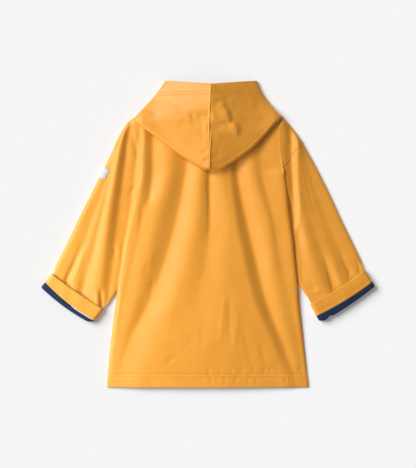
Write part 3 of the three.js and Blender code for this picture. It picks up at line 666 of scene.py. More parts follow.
def coated_cloth():
    """Polyurethane-coated cloth: satin, with a fine leathery grain, slight mottling and a painted highlight
    on rounded edges.
    """
    look = Look("coated_cloth")
    base = look.ramp(look.noise(22, 4, 0.6), 0.3, 0.7, COAT_DEEP, COAT_LIGHT)
    # Painted highlight: by their pointiness, rounded edges and crests are mixed up to 35% towards the lighter
    # colour
    edges = look.add("NewGeometry").outputs["Pointiness"]
    colour = look.blend(look.ramp(edges, 0.5, 0.62, BLACK, (0.35,) * 3), base, COAT_EDGE_HIGHLIGHT)
    rough = look.rescale(look.noise(90, 3, 0.6), 0.4, 0.56)
    pebbles = look.texture("Voronoi", "Distance", Scale=1250)
    fine, soft = look.noise(620, 3, 0.6), look.noise(120, 2, 0.5)
    relief = look.bump(soft, 0.25, 0.0006)
    relief = look.bump(fine, 0.22, 0.0002, Normal=relief)
    relief = look.bump(pebbles, 0.16, 0.00012, Normal=relief)
    return look.finish(
        Base_Color=colour, Roughness=rough, Normal=relief, IOR=1.46, Specular_IOR_Level=0.5,
        Coat_Weight=0.12, Coat_Roughness=0.42,
    )


def jersey():
    """Navy cotton jersey with narrow white stripes, from the stripe attribute in millimetres."""
    look = Look("jersey_lining")
    at = look.add("Attribute")
    at.attribute_name = "stripe"
    away = look.calculate("PINGPONG", at.outputs["Fac"], STRIPE_PITCH / 2)
    ragged = look.calculate("ADD", away, look.rescale(look.noise(900, 2, 0.6), -RAGGED, RAGGED))
    stripe = look.ramp(ragged, STRIPE_HALF, STRIPE_HALF + RAGGED, WHITE, BLACK)
    heather = look.noise(1400, 2, 0.7)
    colour = look.blend(stripe, look.ramp(heather, 0.3, 0.75, NAVY_DEEP, NAVY_LIGHT), STRIPE_WHITE)
    rough = look.rescale(heather, 0.82, 0.95)
    knit = look.texture("Wave", "Fac", Scale=420, Distortion=1.6, Detail=1.0)
    relief = look.bump(heather, 0.3, 0.0002, Normal=look.bump(knit, 0.35, 0.0003))
    return look.finish(
        Base_Color=colour, Roughness=rough, Normal=relief, Specular_IOR_Level=0.28, Sheen_Weight=0.1,
        Sheen_Roughness=0.5,
    )


def thread(name, colour):
    look = Look(name)
    twist = look.noise(2600, 2, 0.5)
    base = look.ramp(twist, 0.3, 0.7, [c * 0.72 for c in colour], colour)
    rough = look.rescale(twist, 0.5, 0.7)
    return look.finish(Base_Color=base, Roughness=rough, Normal=look.bump(twist, 0.4, 0.0002))


def tab_cloth():
    """A pale woven tab with a slight metallic lustre."""
    look = Look("tab_cloth")
    weave = look.texture("Wave", "Fac", Scale=700, Distortion=0.8)
    base = look.ramp(look.noise(160, 3, 0.6), 0.3, 0.7, TAB_DEEP, TAB_LIGHT)
    rough = look.rescale(weave, 0.34, 0.5)
    relief = look.bump(weave, 0.3, 0.0002)
    return look.finish(Base_Color=base, Roughness=rough, Normal=relief, Sheen_Weight=0.2)


def snap_plastic():
    look = Look("snap_plastic")
    cloud = look.noise(300, 3, 0.6)
    base = look.ramp(cloud, 0.3, 0.7, COAT_DEEP, COAT_LIGHT)
    rough = look.rescale(cloud, 0.2, 0.34)
    return look.finish(Base_Color=base, Roughness=rough, Normal=look.bump(cloud, 0.1, 0.0002))


CLOTH = [coated_cloth(), jersey()]
COATED, JERSEY = CLOTH
THREAD = thread("coat_thread", (0.82, 0.29, 0.03))
TAB_CLOTH = tab_cloth()
TAB_THREAD = thread("tab_thread", (0.30, 0.30, 0.36))
SNAP_PLASTIC = snap_plastic()


# Stitching

STITCH = {"length": 2.5, "gap": 0.9, "radius": 0.3, "sides": 6}
# A thread bar's rings: place as a share of its length, and share of its radius
BAR = [(-0.5, 0.35), (-0.32, 0.9), (0.0, 1.0), (0.32, 0.9), (0.5, 0.35)]
TAB_STITCH_STEP = 2.2
RAY_START = 0.2  # metres above or below the floor


def resample(path, step):
    path = np.asarray(path, float)
    along = np.concatenate([[0], np.cumsum(np.linalg.norm(np.diff(path, axis=0), axis=1))])
    count = max(int(along[-1] / step), 2)
    at = (np.arange(count) + 0.5) * along[-1] / count
    points, ahead, behind = (
        np.stack([np.interp(at + shift, along, values) for values in path.T], 1) for shift in (0, 0.5, -0.5)
    )
    direction = ahead - behind
    return points, direction / np.linalg.norm(direction, axis=1, keepdims=True)


def add_stitches(name, spots, material):
    """Small thread bars, each given by its place, direction and the surface's normal there."""
    sides = STITCH["sides"]
    vertices, faces = [], []
    for point, direction, normal in spots:
        across = np.cross(normal, direction)
        across /= np.linalg.norm(across)
        up = np.cross(direction, across)
        first = len(vertices)
        for along, thickness in BAR:
            centre = point + direction * along * STITCH["length"]
            radius = STITCH["radius"] * thickness
            for k in range(sides):
                angle = math.tau * k / sides
                vertices.append(centre + across * math.cos(angle) * radius + up * math.sin(angle) * radius)
        for ring in range(len(BAR) - 1):
            for k in range(sides):
                a, b = first + ring * sides + k, first + ring * sides + (k + 1) % sides
                faces.append((a, b, b + sides, a + sides))
        faces.append(tuple(first + k for k in reversed(range(sides))))
        end = first + (len(BAR) - 1) * sides
        faces.append(tuple(end + k for k in range(sides)))
    return add_mesh(name, vertices, faces, [material], sharp=None)


def surface_of(*pieces):
    """A search tree of the pieces' faces, in metres."""
    vertices, faces = [], []
    for piece in pieces:
        first = len(vertices)
        vertices.extend(v.co.copy() for v in piece.data.vertices)
        faces.extend([first + i for i in p.vertices] for p in piece.data.polygons)
    return BVHTree.FromPolygons(vertices, faces)


def row_on(surface, path, down, step, sunk=0.05):
    """Stitch places along a plan path, dropped on the surface from above (or raised from below)."""
    spots = []
    points, directions = resample(path, step)
    for (x, y), (dx, dy) in zip(points, directions):
        start = Vector((x * MM, y * MM, -RAY_START * down))
        hit, normal, _, _ = surface.ray_cast(start, Vector((0, 0, down)))
        if hit is None:
            continue
        normal = np.array(normal) * (1 if normal.z * down < 0 else -1)
        flat = np.array([dx, dy, 0.0])
        direction = flat - normal * flat.dot(normal)
        spots.append((np.array(hit) / MM - normal * sunk, direction / np.linalg.norm(direction), normal))
    return spots


def add_rows(name, surface, paths, material=THREAD, downs=(-1,), step=STITCH["length"] + STITCH["gap"]):
    """A piece of stitch rows, one along each plan path and from each side of the surface in downs."""
    spots = [spot for path in paths for down in downs for spot in row_on(surface, path, down, step)]
    return add_stitches(name, spots, material)


# Back

HEM_ROWS = [-306, -305.5, -304.8, -303.6, -301.8, -299.4, -296.6, -293.8, -291.2, -289, -287.4, -286.3,
            -285.7, -285.2, -284.7, -284.1, -283.2, -282, -280.8, -280.2, -279.7, -279.2, -278.7, -278.1,
            -277.2, -275.8, -273.8]
ROW_STEP = 2.7
BACK_COLUMNS = 168
CROWDING = 0.5
# The rows are level up to the first height, then spread to each side's underarm, from the second
LEVEL_TO_Y, ROWS_TOP_Y = -240, 104
# How far the edge turns down: to the floor, and to the sleeve
FLOOR_DROP, SLEEVE_DROP = ON_FRONT - 0.2, 2.0
HEM_SOFT_RIM = np.array([0.55, 0.25, 0.08])
# How the edge turns under, step by step: out from the outline and down from the cloth's top, and
# from there to the cloth's inner face, inwards and down
TURN = [(0.35, 0.12, 0.55, 0.35), (0.8, 0.5, 0.55, 0.35), (1.0, 1.1, 1.05, 0), (0.8, 1.8, 1.05, 0),
        (0.3, 2.4, 1.05, 0)]
TURN_DEPTH = TURN[-1][1]


def edge_points(side):
    """Points along one side of the body, from the hem to the neck, with how the edge turns there."""
    top = SHOULDER[side][0][1]
    above = np.arange(HEM_ROWS[-1] + ROW_STEP, ROWS_TOP_Y - ROW_STEP / 2, ROW_STEP)
    low = np.concatenate([HEM_ROWS, above, [ROWS_TOP_Y]])
    spread = mix(LEVEL_TO_Y, top, (low - LEVEL_TO_Y) / (ROWS_TOP_Y - LEVEL_TO_Y))
    y = np.where(low < LEVEL_TO_Y, low, spread)
    points = [(float(side_x(side, v)), float(v)) for v in y]
    over = [float(smooth((v - SLEEVE_EMERGES["y"]) / SLEEVE_EMERGES["span"])) for v in y]
    drops = [mix(FLOOR_DROP, SLEEVE_DROP, t) for t in over]
    outline = SHOULDER[side]
    for i, rows in enumerate(SHOULDER_ROWS):
        for r in range(1, rows + 1):
            t = r / rows
            points.append(tuple(mix(outline[i][k], outline[i + 1][k], t) for k in range(2)))
            drops.append(mix(SLEEVE_DROP, ARMHOLE["drop"], smooth(4 * t)) if i == 0 else FLOOR_DROP)
    return points, drops


def back_grid():
    left, left_drops = edge_points("left")
    right, right_drops = edge_points("right")
    c = np.arange(BACK_COLUMNS + 1) / BACK_COLUMNS
    across = mix(c, (1 - np.cos(math.pi * c)) / 2, CROWDING)
    left, right = np.array(left), np.array(right)
    rows = len(left)
    neck = SHOULDER_ROWS[-1] + SHOULDER_ROWS[-2]
    drop = NECK_DROP * smooth((np.arange(rows) - rows + 1 + neck) / neck)
    x = left[:, :1] + (right[:, :1] - left[:, :1]) * across
    y = left[:, 1:] + (right[:, 1:] - left[:, 1:]) * across - drop[:, None] * 4 * across * (1 - across)
    z = back_top(x, y)
    top = np.stack([x, y, z], 2)
    from_armholes = [distance_to(SHOULDER[side][:2], x, y) / ARMHOLE["over"] for side in SIDES]
    thin = ARMHOLE["thin"] * sum(1 - smooth(distance) for distance in from_armholes)
    bottom = np.stack([x, y, z - WALL + thin], 2)
    top[:3, :, 2] -= HEM_SOFT_RIM[:, None]
    bottom[:3, :, 2] += HEM_SOFT_RIM[:, None]
    return turned(top, bottom, left, left_drops, right, right_drops)


def turned(top, bottom, left, left_drops, right, right_drops):
    """The grids with a few columns more at each side, where the cloth turns down over its edge."""
    extra_top, extra_bottom = {}, {}
    for side, line, drops in (("left", left, left_drops), ("right", right, right_drops)):
        edge = top[:, 0] if side == "left" else top[:, -1]
        tangent = np.gradient(line, axis=0)
        normal = np.stack([tangent[:, 1], -tangent[:, 0]], 1)
        normal /= np.linalg.norm(normal, axis=1, keepdims=True)
        normal *= AWAY[side] * np.sign(normal[:, :1] + 1e-9)
        depth = np.array(drops)[:, None]
        outs, unders = [], []
        for out, down, under_in, under_down in TURN:
            point = edge.copy()
            point[:, :2] += normal * out
            point[:, 2:] -= depth * down / TURN_DEPTH
            outs.append(point)
            under = point.copy()
            under[:, :2] -= normal * under_in
            under[:, 2:] -= under_down
            unders.append(under)
        if side == "left":
            outs.reverse()
            unders.reverse()
        extra_top[side], extra_bottom[side] = np.stack(outs, 1), np.stack(unders, 1)
    return tuple(
        np.concatenate([extra["left"], grid, extra["right"]], axis=1)
        for extra, grid in ((extra_top, top), (extra_bottom, bottom))
    )


back = add_shell("back_panel", *back_grid(), CLOTH)


# Sleeves and cuffs

def sleeve_plan(side, s, t):
    rows = SLEEVE_SECTIONS[side]
    outer = [smooth_at([p[k] for p in rows["outer"]], s) for k in range(2)]
    inner = [smooth_at([p[k] for p in rows["inner"]], s) for k in range(2)]
    dx, dy = inner[0] - outer[0], inner[1] - outer[1]
    bow = smooth_at(rows["bow"], s) * 4 * t * (1 - t)
    share = np.sign(dx) * bow / np.hypot(dx, dy)
    return outer[0] + dx * t + dy * share, outer[1] + dy * t - dx * share


def sleeve_width(side, s):
    (ax, ay), (bx, by) = sleeve_plan(side, s, 0.0), sleeve_plan(side, s, 1.0)
    return np.hypot(ax - bx, ay - by)


def flat_ring(side, s, inset, radius, lift, span, edge_steps, upper_steps, lower_steps, s_of=None):
    """Points round a flattened tube at section s: over its upper side and back along the lower one.

    Its long edges are rolled to the radius, less the inset. span(x, y) gives the tube's lowest and
    highest point before the inset, and lift is the height of the edge above the lowest.
    """
    width = float(sleeve_width(side, s))
    angles = np.arange(edge_steps + 1) * math.pi / 2 / edge_steps
    edge = radius - (radius - inset) * np.cos(angles)

    def across(steps):
        inner = mix(radius, width - radius, np.arange(1, steps) / steps)
        distance = np.concatenate([edge, inner, width - edge[::-1]])
        risen = np.concatenate([np.sin(angles), np.ones(steps - 1), np.sin(angles[::-1])])
        return distance / width, risen

    rings = []
    for upper, steps in ((True, upper_steps), (False, lower_steps)):
        t, risen = across(steps)
        x, y = sleeve_plan(side, s_of(t) if s_of else s + 0 * t, t)
        low, high = span(x, y)
        z = mix(low + lift, high - inset if upper else low + inset, risen)
        rings.append(np.stack([x, y, z], 1))
    return np.concatenate([rings[0], rings[1][1:-1][::-1]])


SLEEVE_GRID = {"edge_steps": 7, "upper_steps": 74, "lower_steps": 26}
CUFF_GRID = {"edge_steps": 8, "upper_steps": 60, "lower_steps": 30}
NARROWS = {"from": 5.1, "over": 0.85}
CUFF_ROOM = 0.5  # between the sleeve inside and the turned-up band
CUFF_SAG = 0.5
SLEEVE_LEAST = 3.2  # height of the tube from its lower side
SLEEVE_ROWS = np.concatenate([
    np.linspace(-0.04, 0.12, 9), np.linspace(0.15, 5.0, 108), np.linspace(5.04, 6.8, 44),
])
SECTION_LENGTH = 52
# The band's rows from its edge to the fold, how much its first and last rows draw in, and its stitches
CUFF_ROWS = [0, 0.6, 1.4, 2.6, 4.4, 6.6, 9, 11.5, 14, 16.4, 17.6, 18.4, 19.2, 20.4, 21.6, 22.4, 23.2, 24.4,
             26, 27, 27.6]
CUFF_RIM = {0: 0.7, 1: 0.25, len(CUFF_ROWS) - 2: 0.15, len(CUFF_ROWS) - 1: 0.55}
CUFF_STITCHES = (19.2, 22.4)
# Dents in the fold: place as a share of the width, half width, and share of the turn-up's depth
FOLD_DENTS = {"left": [(1.0, 0.05, 0.17)], "right": [(0.82, 0.035, 0.07), (1.0, 0.05, 0.10)]}
# The stripes run at a slight angle to the band's edge, so the first one shows at one end only
STRIPE_LEAN = {
    "at": (0, 0.5, 0.62, 1), "left": (4.5, 1.4, -0.9, -1.2), "right": (4.5, 4.0, 4.0, 3.5),
}


def sleeve_ring(side, s, inset):
    narrowed = float(smooth((s - NARROWS["from"]) / NARROWS["over"]))
    inside = SLEEVE_INSET * narrowed
    seam = float(smooth((ARMHOLE["tucked_to"] - s) / ARMHOLE["tucked_over"]))

    def span(x, y):
        hidden = AWAY[side] * (x - side_x(side, y)) < 0
        tucked = tuck_z(side, y)
        high = np.where(hidden, tucked, arm_height(side, x, y, tucked) + creased(ARM_CREASES[side], x, y))
        high = high + waves(x, y, "sleeve") * ~hidden
        high = high - ARMHOLE["tuck"] * seam
        limit = CUFF_HEIGHT - SLEEVE_INSET - CUFF_ROOM
        high = mix(high, np.minimum(high, limit), narrowed)
        return inside, np.maximum(high, inside + SLEEVE_LEAST)

    radius = mix(SLEEVE_ROLL, CUFF_HEIGHT / 2 - 1, narrowed)
    lift = mix(SLEEVE_LIFT, CUFF_HEIGHT / 2 - inside, narrowed)
    ring = flat_ring(side, s, inset, radius, lift, span, **SLEEVE_GRID)
    if narrowed > 0:
        # The tube's long edges draw in as it enters the band
        ax, ay = sleeve_plan(side, s, 0.0)
        bx, by = sleeve_plan(side, s, 1.0)
        middle = np.array([(ax + bx) / 2, (ay + by) / 2])
        width = float(sleeve_width(side, s))
        ring[:, :2] = middle + (ring[:, :2] - middle) * (1 - 2 * inside / width)
    return ring


def add_sleeve(side):
    outer = np.array([sleeve_ring(side, float(s), 0.0) for s in SLEEVE_ROWS])
    inner = np.array([sleeve_ring(side, float(s), WALL) for s in SLEEVE_ROWS])
    stripe = np.repeat(SLEEVE_ROWS[:, None] * SECTION_LENGTH, outer.shape[1], 1)
    return add_shell(f"sleeve_{side}_cloth", outer, inner, CLOTH, wraps=True, stripe=stripe)


def cuff_ring(side, s_of, inset):
    """A ring of the turned-up cuff. s_of(t) is its section at each share t of the width."""
    half = CUFF_HEIGHT / 2

    def span(x, y):
        return 0.0, CUFF_HEIGHT - CUFF_SAG + waves(x, y, "cuff")

    return flat_ring(side, BAND_SECTION + 0.5, inset, half, half, span, s_of=s_of, **CUFF_GRID)


def band_share(side, t):
    return smooth_at(BAND_SHARE[side], clamp(t) * (len(BAND_SHARE[side]) - 1))


def turn_up_depth(side):
    (ax, ay), (bx, by) = sleeve_plan(side, BAND_SECTION, 0.5), sleeve_plan(side, BAND_SECTION + 1, 0.5)
    return float(np.hypot(ax - bx, ay - by))


def add_cuff(side):
    depth = turn_up_depth(side)
    full = CUFF_ROWS[-1]
    outer, inner = [], []
    for i, along in enumerate(CUFF_ROWS):
        def s_of(t, share=along / full):
            return BAND_SECTION + band_share(side, t) * share

        rim = CUFF_RIM.get(i, 0.0)
        outer.append(cuff_ring(side, s_of, rim - stitch_grooves("cuff", CUFF_STITCHES, along)))
        inner.append(cuff_ring(side, s_of, BAND_WALL - rim * 0.4))
    stripe = np.repeat(np.array(CUFF_ROWS)[:, None], outer[0].shape[0], 1) * depth / full
    return add_shell(f"cuff_{side}_band", outer, inner, CLOTH, wraps=True, stripe=stripe)


def fold_depth(side, t):
    """Where the fold at the sleeve's end lies, as a share of the turn-up's depth."""
    dents = sum(depth * np.exp(-(((t - at) / width) ** 2)) for at, width, depth in FOLD_DENTS[side])
    return 1 - dents


def add_cuff_lining(side):
    depth = turn_up_depth(side)
    inside = LINING_INSET + LINING_WALL
    middle = inside / 2
    turn = np.arange(9) * math.pi / 8

    def before_fold(share):  # from the band's edge, along the outside
        return lambda t: BAND_SECTION + mix(band_share(side, t), fold_depth(side, t) - middle / depth, share)

    def from_fold(at):
        return lambda t: BAND_SECTION + at / depth - (1 - fold_depth(side, t))

    def rings(radius, first, last):
        places = [(before_fold(share), first) for share in (0.0, 0.35)]
        for angle in turn:
            at = depth - middle + math.sin(angle) * radius
            places.append((from_fold(at), middle - math.cos(angle) * radius))
        places += [(from_fold(depth - LINING_LEG * share - middle), last) for share in (0.5, 1)]
        return np.array([cuff_ring(side, s_of, inset) for s_of, inset in places])

    outer = rings(middle - LINING_STEP, LINING_STEP, inside)
    inner = rings(middle - LINING_WALL - LINING_STEP * 0.5, BAND_WALL, LINING_INSET)
    steps = np.linalg.norm(np.diff(outer, axis=0), axis=2).mean(axis=1)
    along = np.concatenate([[0], np.cumsum(steps)])
    t = np.linspace(0, 1, CUFF_GRID["upper_steps"] + 2 * CUFF_GRID["edge_steps"] + 1)
    lower = np.linspace(1, 0, outer.shape[1] - len(t))
    lean = np.interp(np.concatenate([t, lower]), STRIPE_LEAN["at"], STRIPE_LEAN[side])
    stripe = along[:, None] + lean[None, :]
    return add_shell(f"cuff_lining_{side}_cloth", outer, inner, [JERSEY], wraps=True, stripe=stripe)


sleeves = {side: add_sleeve(side) for side in SIDES}
cuffs = {side: add_cuff(side) for side in SIDES}
linings = {side: add_cuff_lining(side) for side in SIDES}


# The tab over the left sleeve's outer edge

TAB = {"from": 0.83, "to": 1.215, "slant": 0.0062, "upper": 12.6, "lower": 7.0}
TAB_LAYERS = {"under_z": 0.12, "outer": 0.95, "inner": 0.35, "under_drop": 0.5, "lowest": 0.02}
# Its stitch row: share of the way along the arm, and distance from the arm's edge
TAB_ROW = [(0.05, 2), (0.05, 11.6), (0.95, 11.6), (0.95, 2)]


def tab_section(share, distance):
    return mix(TAB["from"], TAB["to"], share) - TAB["slant"] * distance


def add_tab():
    width = float(sleeve_width("left", 1.0))
    rows = np.linspace(0, 1, 16)
    columns = np.concatenate([-np.linspace(TAB["lower"], 1, 6), np.linspace(0, TAB["upper"], 18)])

    def layer(out):
        grid = []
        for row in rows:
            line = []
            for column in columns:
                distance = abs(column)
                s = tab_section(row, distance)
                x, y = sleeve_plan("left", s, distance / width)
                away = clamp(1 - distance / SLEEVE_ROLL)
                risen = math.sqrt(1 - away**2)
                high = float(arm_height("left", x, y, ARM_TUCK["z"])) + out
                z = mix(SLEEVE_LIFT, high if column >= 0 else TAB_LAYERS["under_z"], risen)
                push = -out * away
                ax, ay = sleeve_plan("left", s, 0.0)
                bx, by = sleeve_plan("left", s, 1.0)
                x, y = x + (bx - ax) / width * push, y + (by - ay) / width * push
                line.append((float(x), float(y), float(z)))
            grid.append(line)
        return np.array(grid)

    outer, inner = layer(TAB_LAYERS["outer"]), layer(TAB_LAYERS["inner"])
    below = outer[:, columns < 0, 2] - TAB_LAYERS["under_drop"]
    outer[:, columns < 0, 2] = np.maximum(below, TAB_LAYERS["lowest"])
    return add_shell("sleeve_tab_cloth", outer, inner, [TAB_CLOTH])


tab = add_tab()


# Hood

HOOD_LAST = len(HOOD_SECTIONS["y"]) - 1
HOOD_ROWS = np.concatenate([
    np.linspace(0, 0.12, 5), np.linspace(0.2, 3.3, 46), np.linspace(3.4, 12, 92),
    np.linspace(12.1, HOOD_LAST, 24),
])
# Columns of the hood's upper and lower side, and how they crowd towards its edge
HOOD_UPPER, HOOD_LOWER = 96, 22
HOOD_CROWDING, HOOD_POWER = 0.75, 1.4
HOOD_TIP_WALL = 0.25


def hood_table(r):
    return {key: smooth_at(values, r) for key, values in HOOD_SECTIONS.items()}


HOOD_LINE = hood_table(np.linspace(0, HOOD_LAST, 120))
HOOD_OUTLINE = [
    *zip(HOOD_LINE["left"], HOOD_LINE["y"]), *zip(HOOD_LINE["right"][::-1], HOOD_LINE["y"][::-1]),
]


def welt_height(side, x, y, seam_x):
    left = smooth((y - WELT["changes_y"]) / WELT["over_y"])
    share = left if side == "left" else 1 - left
    distance = np.abs(x - seam_x)
    ridge = np.sin(math.pi * clamp(distance / WELT["width"]) ** 0.7)
    return WELT["relief"] * share * ridge - WELT["groove"] * np.exp(-(distance**2))


def mouth_dip(y, across, rows):
    """The hood's face edge dips towards the seam."""
    return y - HOOD_MOUTH_DIP * across * smooth(1 - rows / HOOD_DIP_ROWS)


def hood_place(side, table, across, inset):
    """x, and the distance from the hood's edge, at a share of the way from that edge to the seam."""
    reach = np.abs(table[side] - table["seam_x"])
    x = table["seam_x"] + AWAY[side] * (reach - inset * HOOD_SLACK) * (1 - across)
    distance = distance_to(HOOD_OUTLINE, x, table["y"]) - inset
    return x, np.maximum(distance, HOOD_TIP_OPEN * reach * across)


def hood_upper(side, table, across, inset):
    x, distance = hood_place(side, table, across, inset)
    y = mouth_dip(table["y"], across, table["row"])
    distance = np.where(across <= 0, 0, distance)
    at_edge, far = hood_underside(x, y), hood_underside(x, y, HOOD_UPPER_RAMP)
    rest = mix(at_edge, far, smooth(distance / HOOD_UPPER_RAMP["inwards"]))
    edge = np.minimum(HOOD_FOLD, table["seam_z"] - rest - 1)
    height = edge + (table["seam_z"] - rest - edge) * across**HOOD_DOME
    over_hem = smooth((y - HOOD_SECTIONS["y"][0] + HOOD_HEM["width"]) / HOOD_HEM["slope"])
    height = height + HOOD_HEM["relief"] * over_hem
    height = height + stitch_grooves("hood", HOOD_STITCHES, y)
    height = height + creased(HOOD_CREASES, x, y) + waves(x, y, "hood")
    bead = HOOD_BEAD["relief"] * np.exp(-(((distance - HOOD_BEAD["at"]) / HOOD_BEAD["width"]) ** 2))
    bead = bead * smooth((HOOD_BEAD["below_y"] - y) / HOOD_BEAD["over_y"])
    height = height + bead + welt_height(side, x, y, table["seam_x"]) * (inset == 0)
    z = mix(at_edge + HOOD_EDGE_LIFT, rest + height - inset, roll(distance, HOOD_EDGE_RADIUS))
    return np.stack([x, y, z], -1)


def hood_lower(side, table, across, inset):
    x, distance = hood_place(side, table, across, inset)
    mouth = HOOD_SECTIONS["y"][0]
    back_share = clamp((table["y"] - HOOD_LOWER_START_Y) / (mouth - HOOD_LOWER_START_Y))
    y = table["y"] - HOOD_FACE_CUT * across * back_share
    rest = hood_underside(x, y)
    z = mix(rest + HOOD_EDGE_LIFT, rest + inset, roll(distance, HOOD_EDGE_RADIUS))
    return np.stack([x, y, z], -1)


def add_hood_half(side):
    table = {key: value[:, None] for key, value in hood_table(HOOD_ROWS).items()}
    table["row"] = HOOD_ROWS[:, None]
    c = np.arange(HOOD_UPPER + 1) / HOOD_UPPER
    upper = 1 - mix(c, (1 - np.cos(math.pi * c)) / 2, HOOD_CROWDING)
    lower = (np.arange(1, HOOD_LOWER + 1) / HOOD_LOWER) ** HOOD_POWER
    grids = []
    for inset in (0.0, WALL):
        top = hood_upper(side, table, upper[None, :] + 0 * table["y"], inset)
        under = hood_lower(side, table, lower[None, :] + 0 * table["y"], inset)
        grids.append(np.concatenate([top, under], axis=1))
    outer, inner = grids
    upper_part = np.arange(outer.shape[1]) <= HOOD_UPPER
    inner[-1][:, 2] = outer[-1][:, 2] + np.where(upper_part, -HOOD_TIP_WALL, HOOD_TIP_WALL)
    drawn_in = np.where(upper_part, 1, -1)[None, :] * HOOD_SOFT_RIM[:, None]
    outer[:3, :, 2] -= drawn_in
    inner[:3, :, 2] += drawn_in * 0.6
    return add_shell(f"hood_{side}_cloth", outer, inner, CLOTH)


hoods = {side: add_hood_half(side) for side in SIDES}


# Fronts, under the back

PLACKET = {"low": -18, "high": 18}
FRONT_ROWS = 90
FRONT_NECK_ROWS = 8
# Clearances: from the outline, from the sleeve near this row, and from the hem's edge
FRONT_INSET = {"outline": 1.6, "sleeve": 2, "near": 10, "hem": 0.8}


def sleeve_boundary(side):
    steps = 60
    seam = [sleeve_plan(side, 0.0, i / steps) for i in range(steps)]
    edge = [sleeve_plan(side, BAND_SECTION * i / steps, 1.0) for i in range(steps + 1)]
    return np.array([(float(x), float(y)) for x, y in [*seam, *edge]])


def front_edge(side):
    """The front's own edge, drawn in where the sleeve passes under the back."""
    line = np.array(edge_points(side)[0])
    line = line[np.linspace(0, len(line) - 1, FRONT_ROWS + 1).round().astype(int)]
    inward = -AWAY[side]
    boundary = sleeve_boundary(side)
    made = []
    for x, y in line:
        near = boundary[np.abs(boundary[:, 1] - y) <= FRONT_INSET["near"]]
        limit = max([inward * x + FRONT_INSET["outline"], *(inward * near[:, 0] + FRONT_INSET["sleeve"])])
        made.append((inward * limit, max(y, SIDE_Y[0] + FRONT_INSET["hem"])))
    return np.array(made)


def add_front(side, columns):
    """columns: x, share of the way from x to the edge, low and high of the cloth there."""
    edge = front_edge(side)
    rows = len(edge)
    drop = NECK_DROP * smooth((np.arange(rows) - rows + 1 + FRONT_NECK_ROWS) / FRONT_NECK_ROWS)
    top, bottom = [], []
    for x0, share, low, high in columns:
        x = mix(x0, edge[:, 0], share)
        y = edge[:, 1] - drop * (1 - np.minimum(1, np.abs(x) / NECK_HALF) ** 2)
        groove = stitch_grooves("front", HEM_STITCHES, y)
        wave = np.abs(waves(x, y, "front"))
        top.append(np.stack([x, y, high - wave], 1))
        bottom.append(np.stack([x, y, low - np.minimum(groove, 0) * 0.6], 1))
    return add_shell(f"front_{side}_cloth", np.stack(top, 1), np.stack(bottom, 1), [JERSEY, COATED])


def front_columns(start, shares, low, high):
    return [(start, share, low, high) for share in shares]


SHARES = [0, 0.01, 0.03, 0.06, 0.1, 0.15, *np.linspace(0.2, 0.96, 14), 0.985, 1.0]
flap_low = FRONT_WALL + LAYER_GAP
flap_high = flap_low + FRONT_WALL
overlap_end = PLACKET["high"]
fronts = {
    "left": add_front("left", front_columns(overlap_end - 0.4, SHARES[::-1], 0.0, FRONT_WALL - 0.1)),
    "right": add_front("right", [
        *[(x, 0, flap_low, flap_high) for x in np.linspace(PLACKET["low"], overlap_end, 9)],
        (overlap_end + 0.6, 0, 0.9, flap_high),
        (overlap_end + 1.2, 0, 0.2, flap_high - 0.1),
        (overlap_end + 3, 0, 0.0, flap_high - 0.8),
        (overlap_end + 5, 0, 0.0, FRONT_WALL + 0.3),
        *front_columns(overlap_end + 7, SHARES, 0.0, FRONT_WALL - 0.1),
    ]),
}


# Stitch rows

ROW_INSET = {"hem": 3, "armhole": 4.5, "hood_edge": 5, "front_edge": 5}
ARMHOLE_ROW = (0.08, 0.5, 0.97)
# The hood hem's rows stop here on each side of the seam, and the seam's row runs this far beside it
HOOD_ROW_ENDS = (4.0, 10.0)
SEAM_ROW = {"beside": 7.2, "from": 0.3, "to": 13.2}
# Upright rows of each front, and where its hem's rows end
FRONT_ROW_X = {"left": (-15.0, 14.5), "right": (-15.0, 26.0)}
FRONT_ROW_Y = (-300, 225)
FRONT_HEM_EDGE_Y = -285
FRONT_HEM_END = {"left": 17.4, "right": -16.6}

back_surface = surface_of(back)
hem_rows = [
    [(float(side_x(side, y)) - AWAY[side] * ROW_INSET["hem"], y) for side in SIDES] for y in HEM_STITCHES
]
hem_stitches = add_rows("stitches_hem", back_surface, hem_rows)

armhole_stitches = {}
for side in SIDES:
    (ax, ay), (bx, by) = SHOULDER[side][:2]
    inward = np.array([-(by - ay), bx - ax]) / math.hypot(bx - ax, by - ay) * AWAY[side]
    dx, dy = inward * ROW_INSET["armhole"]
    path = [(ax + (bx - ax) * t + dx, ay + (by - ay) * t + dy) for t in ARMHOLE_ROW]
    armhole_stitches[side] = add_rows(f"stitches_armhole_{side}", back_surface, [path])

hood_surface = surface_of(*hoods.values())
hood_rows = []
for y in HOOD_STITCHES:
    at = rows_at(HOOD_SECTIONS["y"], y)
    edges = (float(smooth_at(HOOD_SECTIONS[side], at)) for side in SIDES)
    left, right = (x - AWAY[side] * ROW_INSET["hood_edge"] for side, x in zip(SIDES, edges))
    hood_rows += [[(left, y), (HOOD_ROW_ENDS[0], y)], [(HOOD_ROW_ENDS[1], y), (right, y)]]
hood_stitches = add_rows("stitches_hood_hem", hood_surface, hood_rows)

seam_at = np.linspace(SEAM_ROW["from"], SEAM_ROW["to"], 30)
seam_line = hood_table(seam_at)
seam_path = list(zip(seam_line["seam_x"] + SEAM_ROW["beside"], mouth_dip(seam_line["y"], 1, seam_at)))
seam_stitches = add_rows("stitches_hood_seam", hood_surface, [seam_path])

cuff_stitches = {}
for side in SIDES:
    t = np.linspace(0.05, 0.95, 24)
    paths = [
        list(zip(*sleeve_plan(side, BAND_SECTION + band_share(side, t) * row / CUFF_ROWS[-1], t)))
        for row in CUFF_STITCHES
    ]
    cuff_stitches[side] = add_rows(f"stitches_cuff_{side}", surface_of(cuffs[side]), paths, downs=(-1, 1))

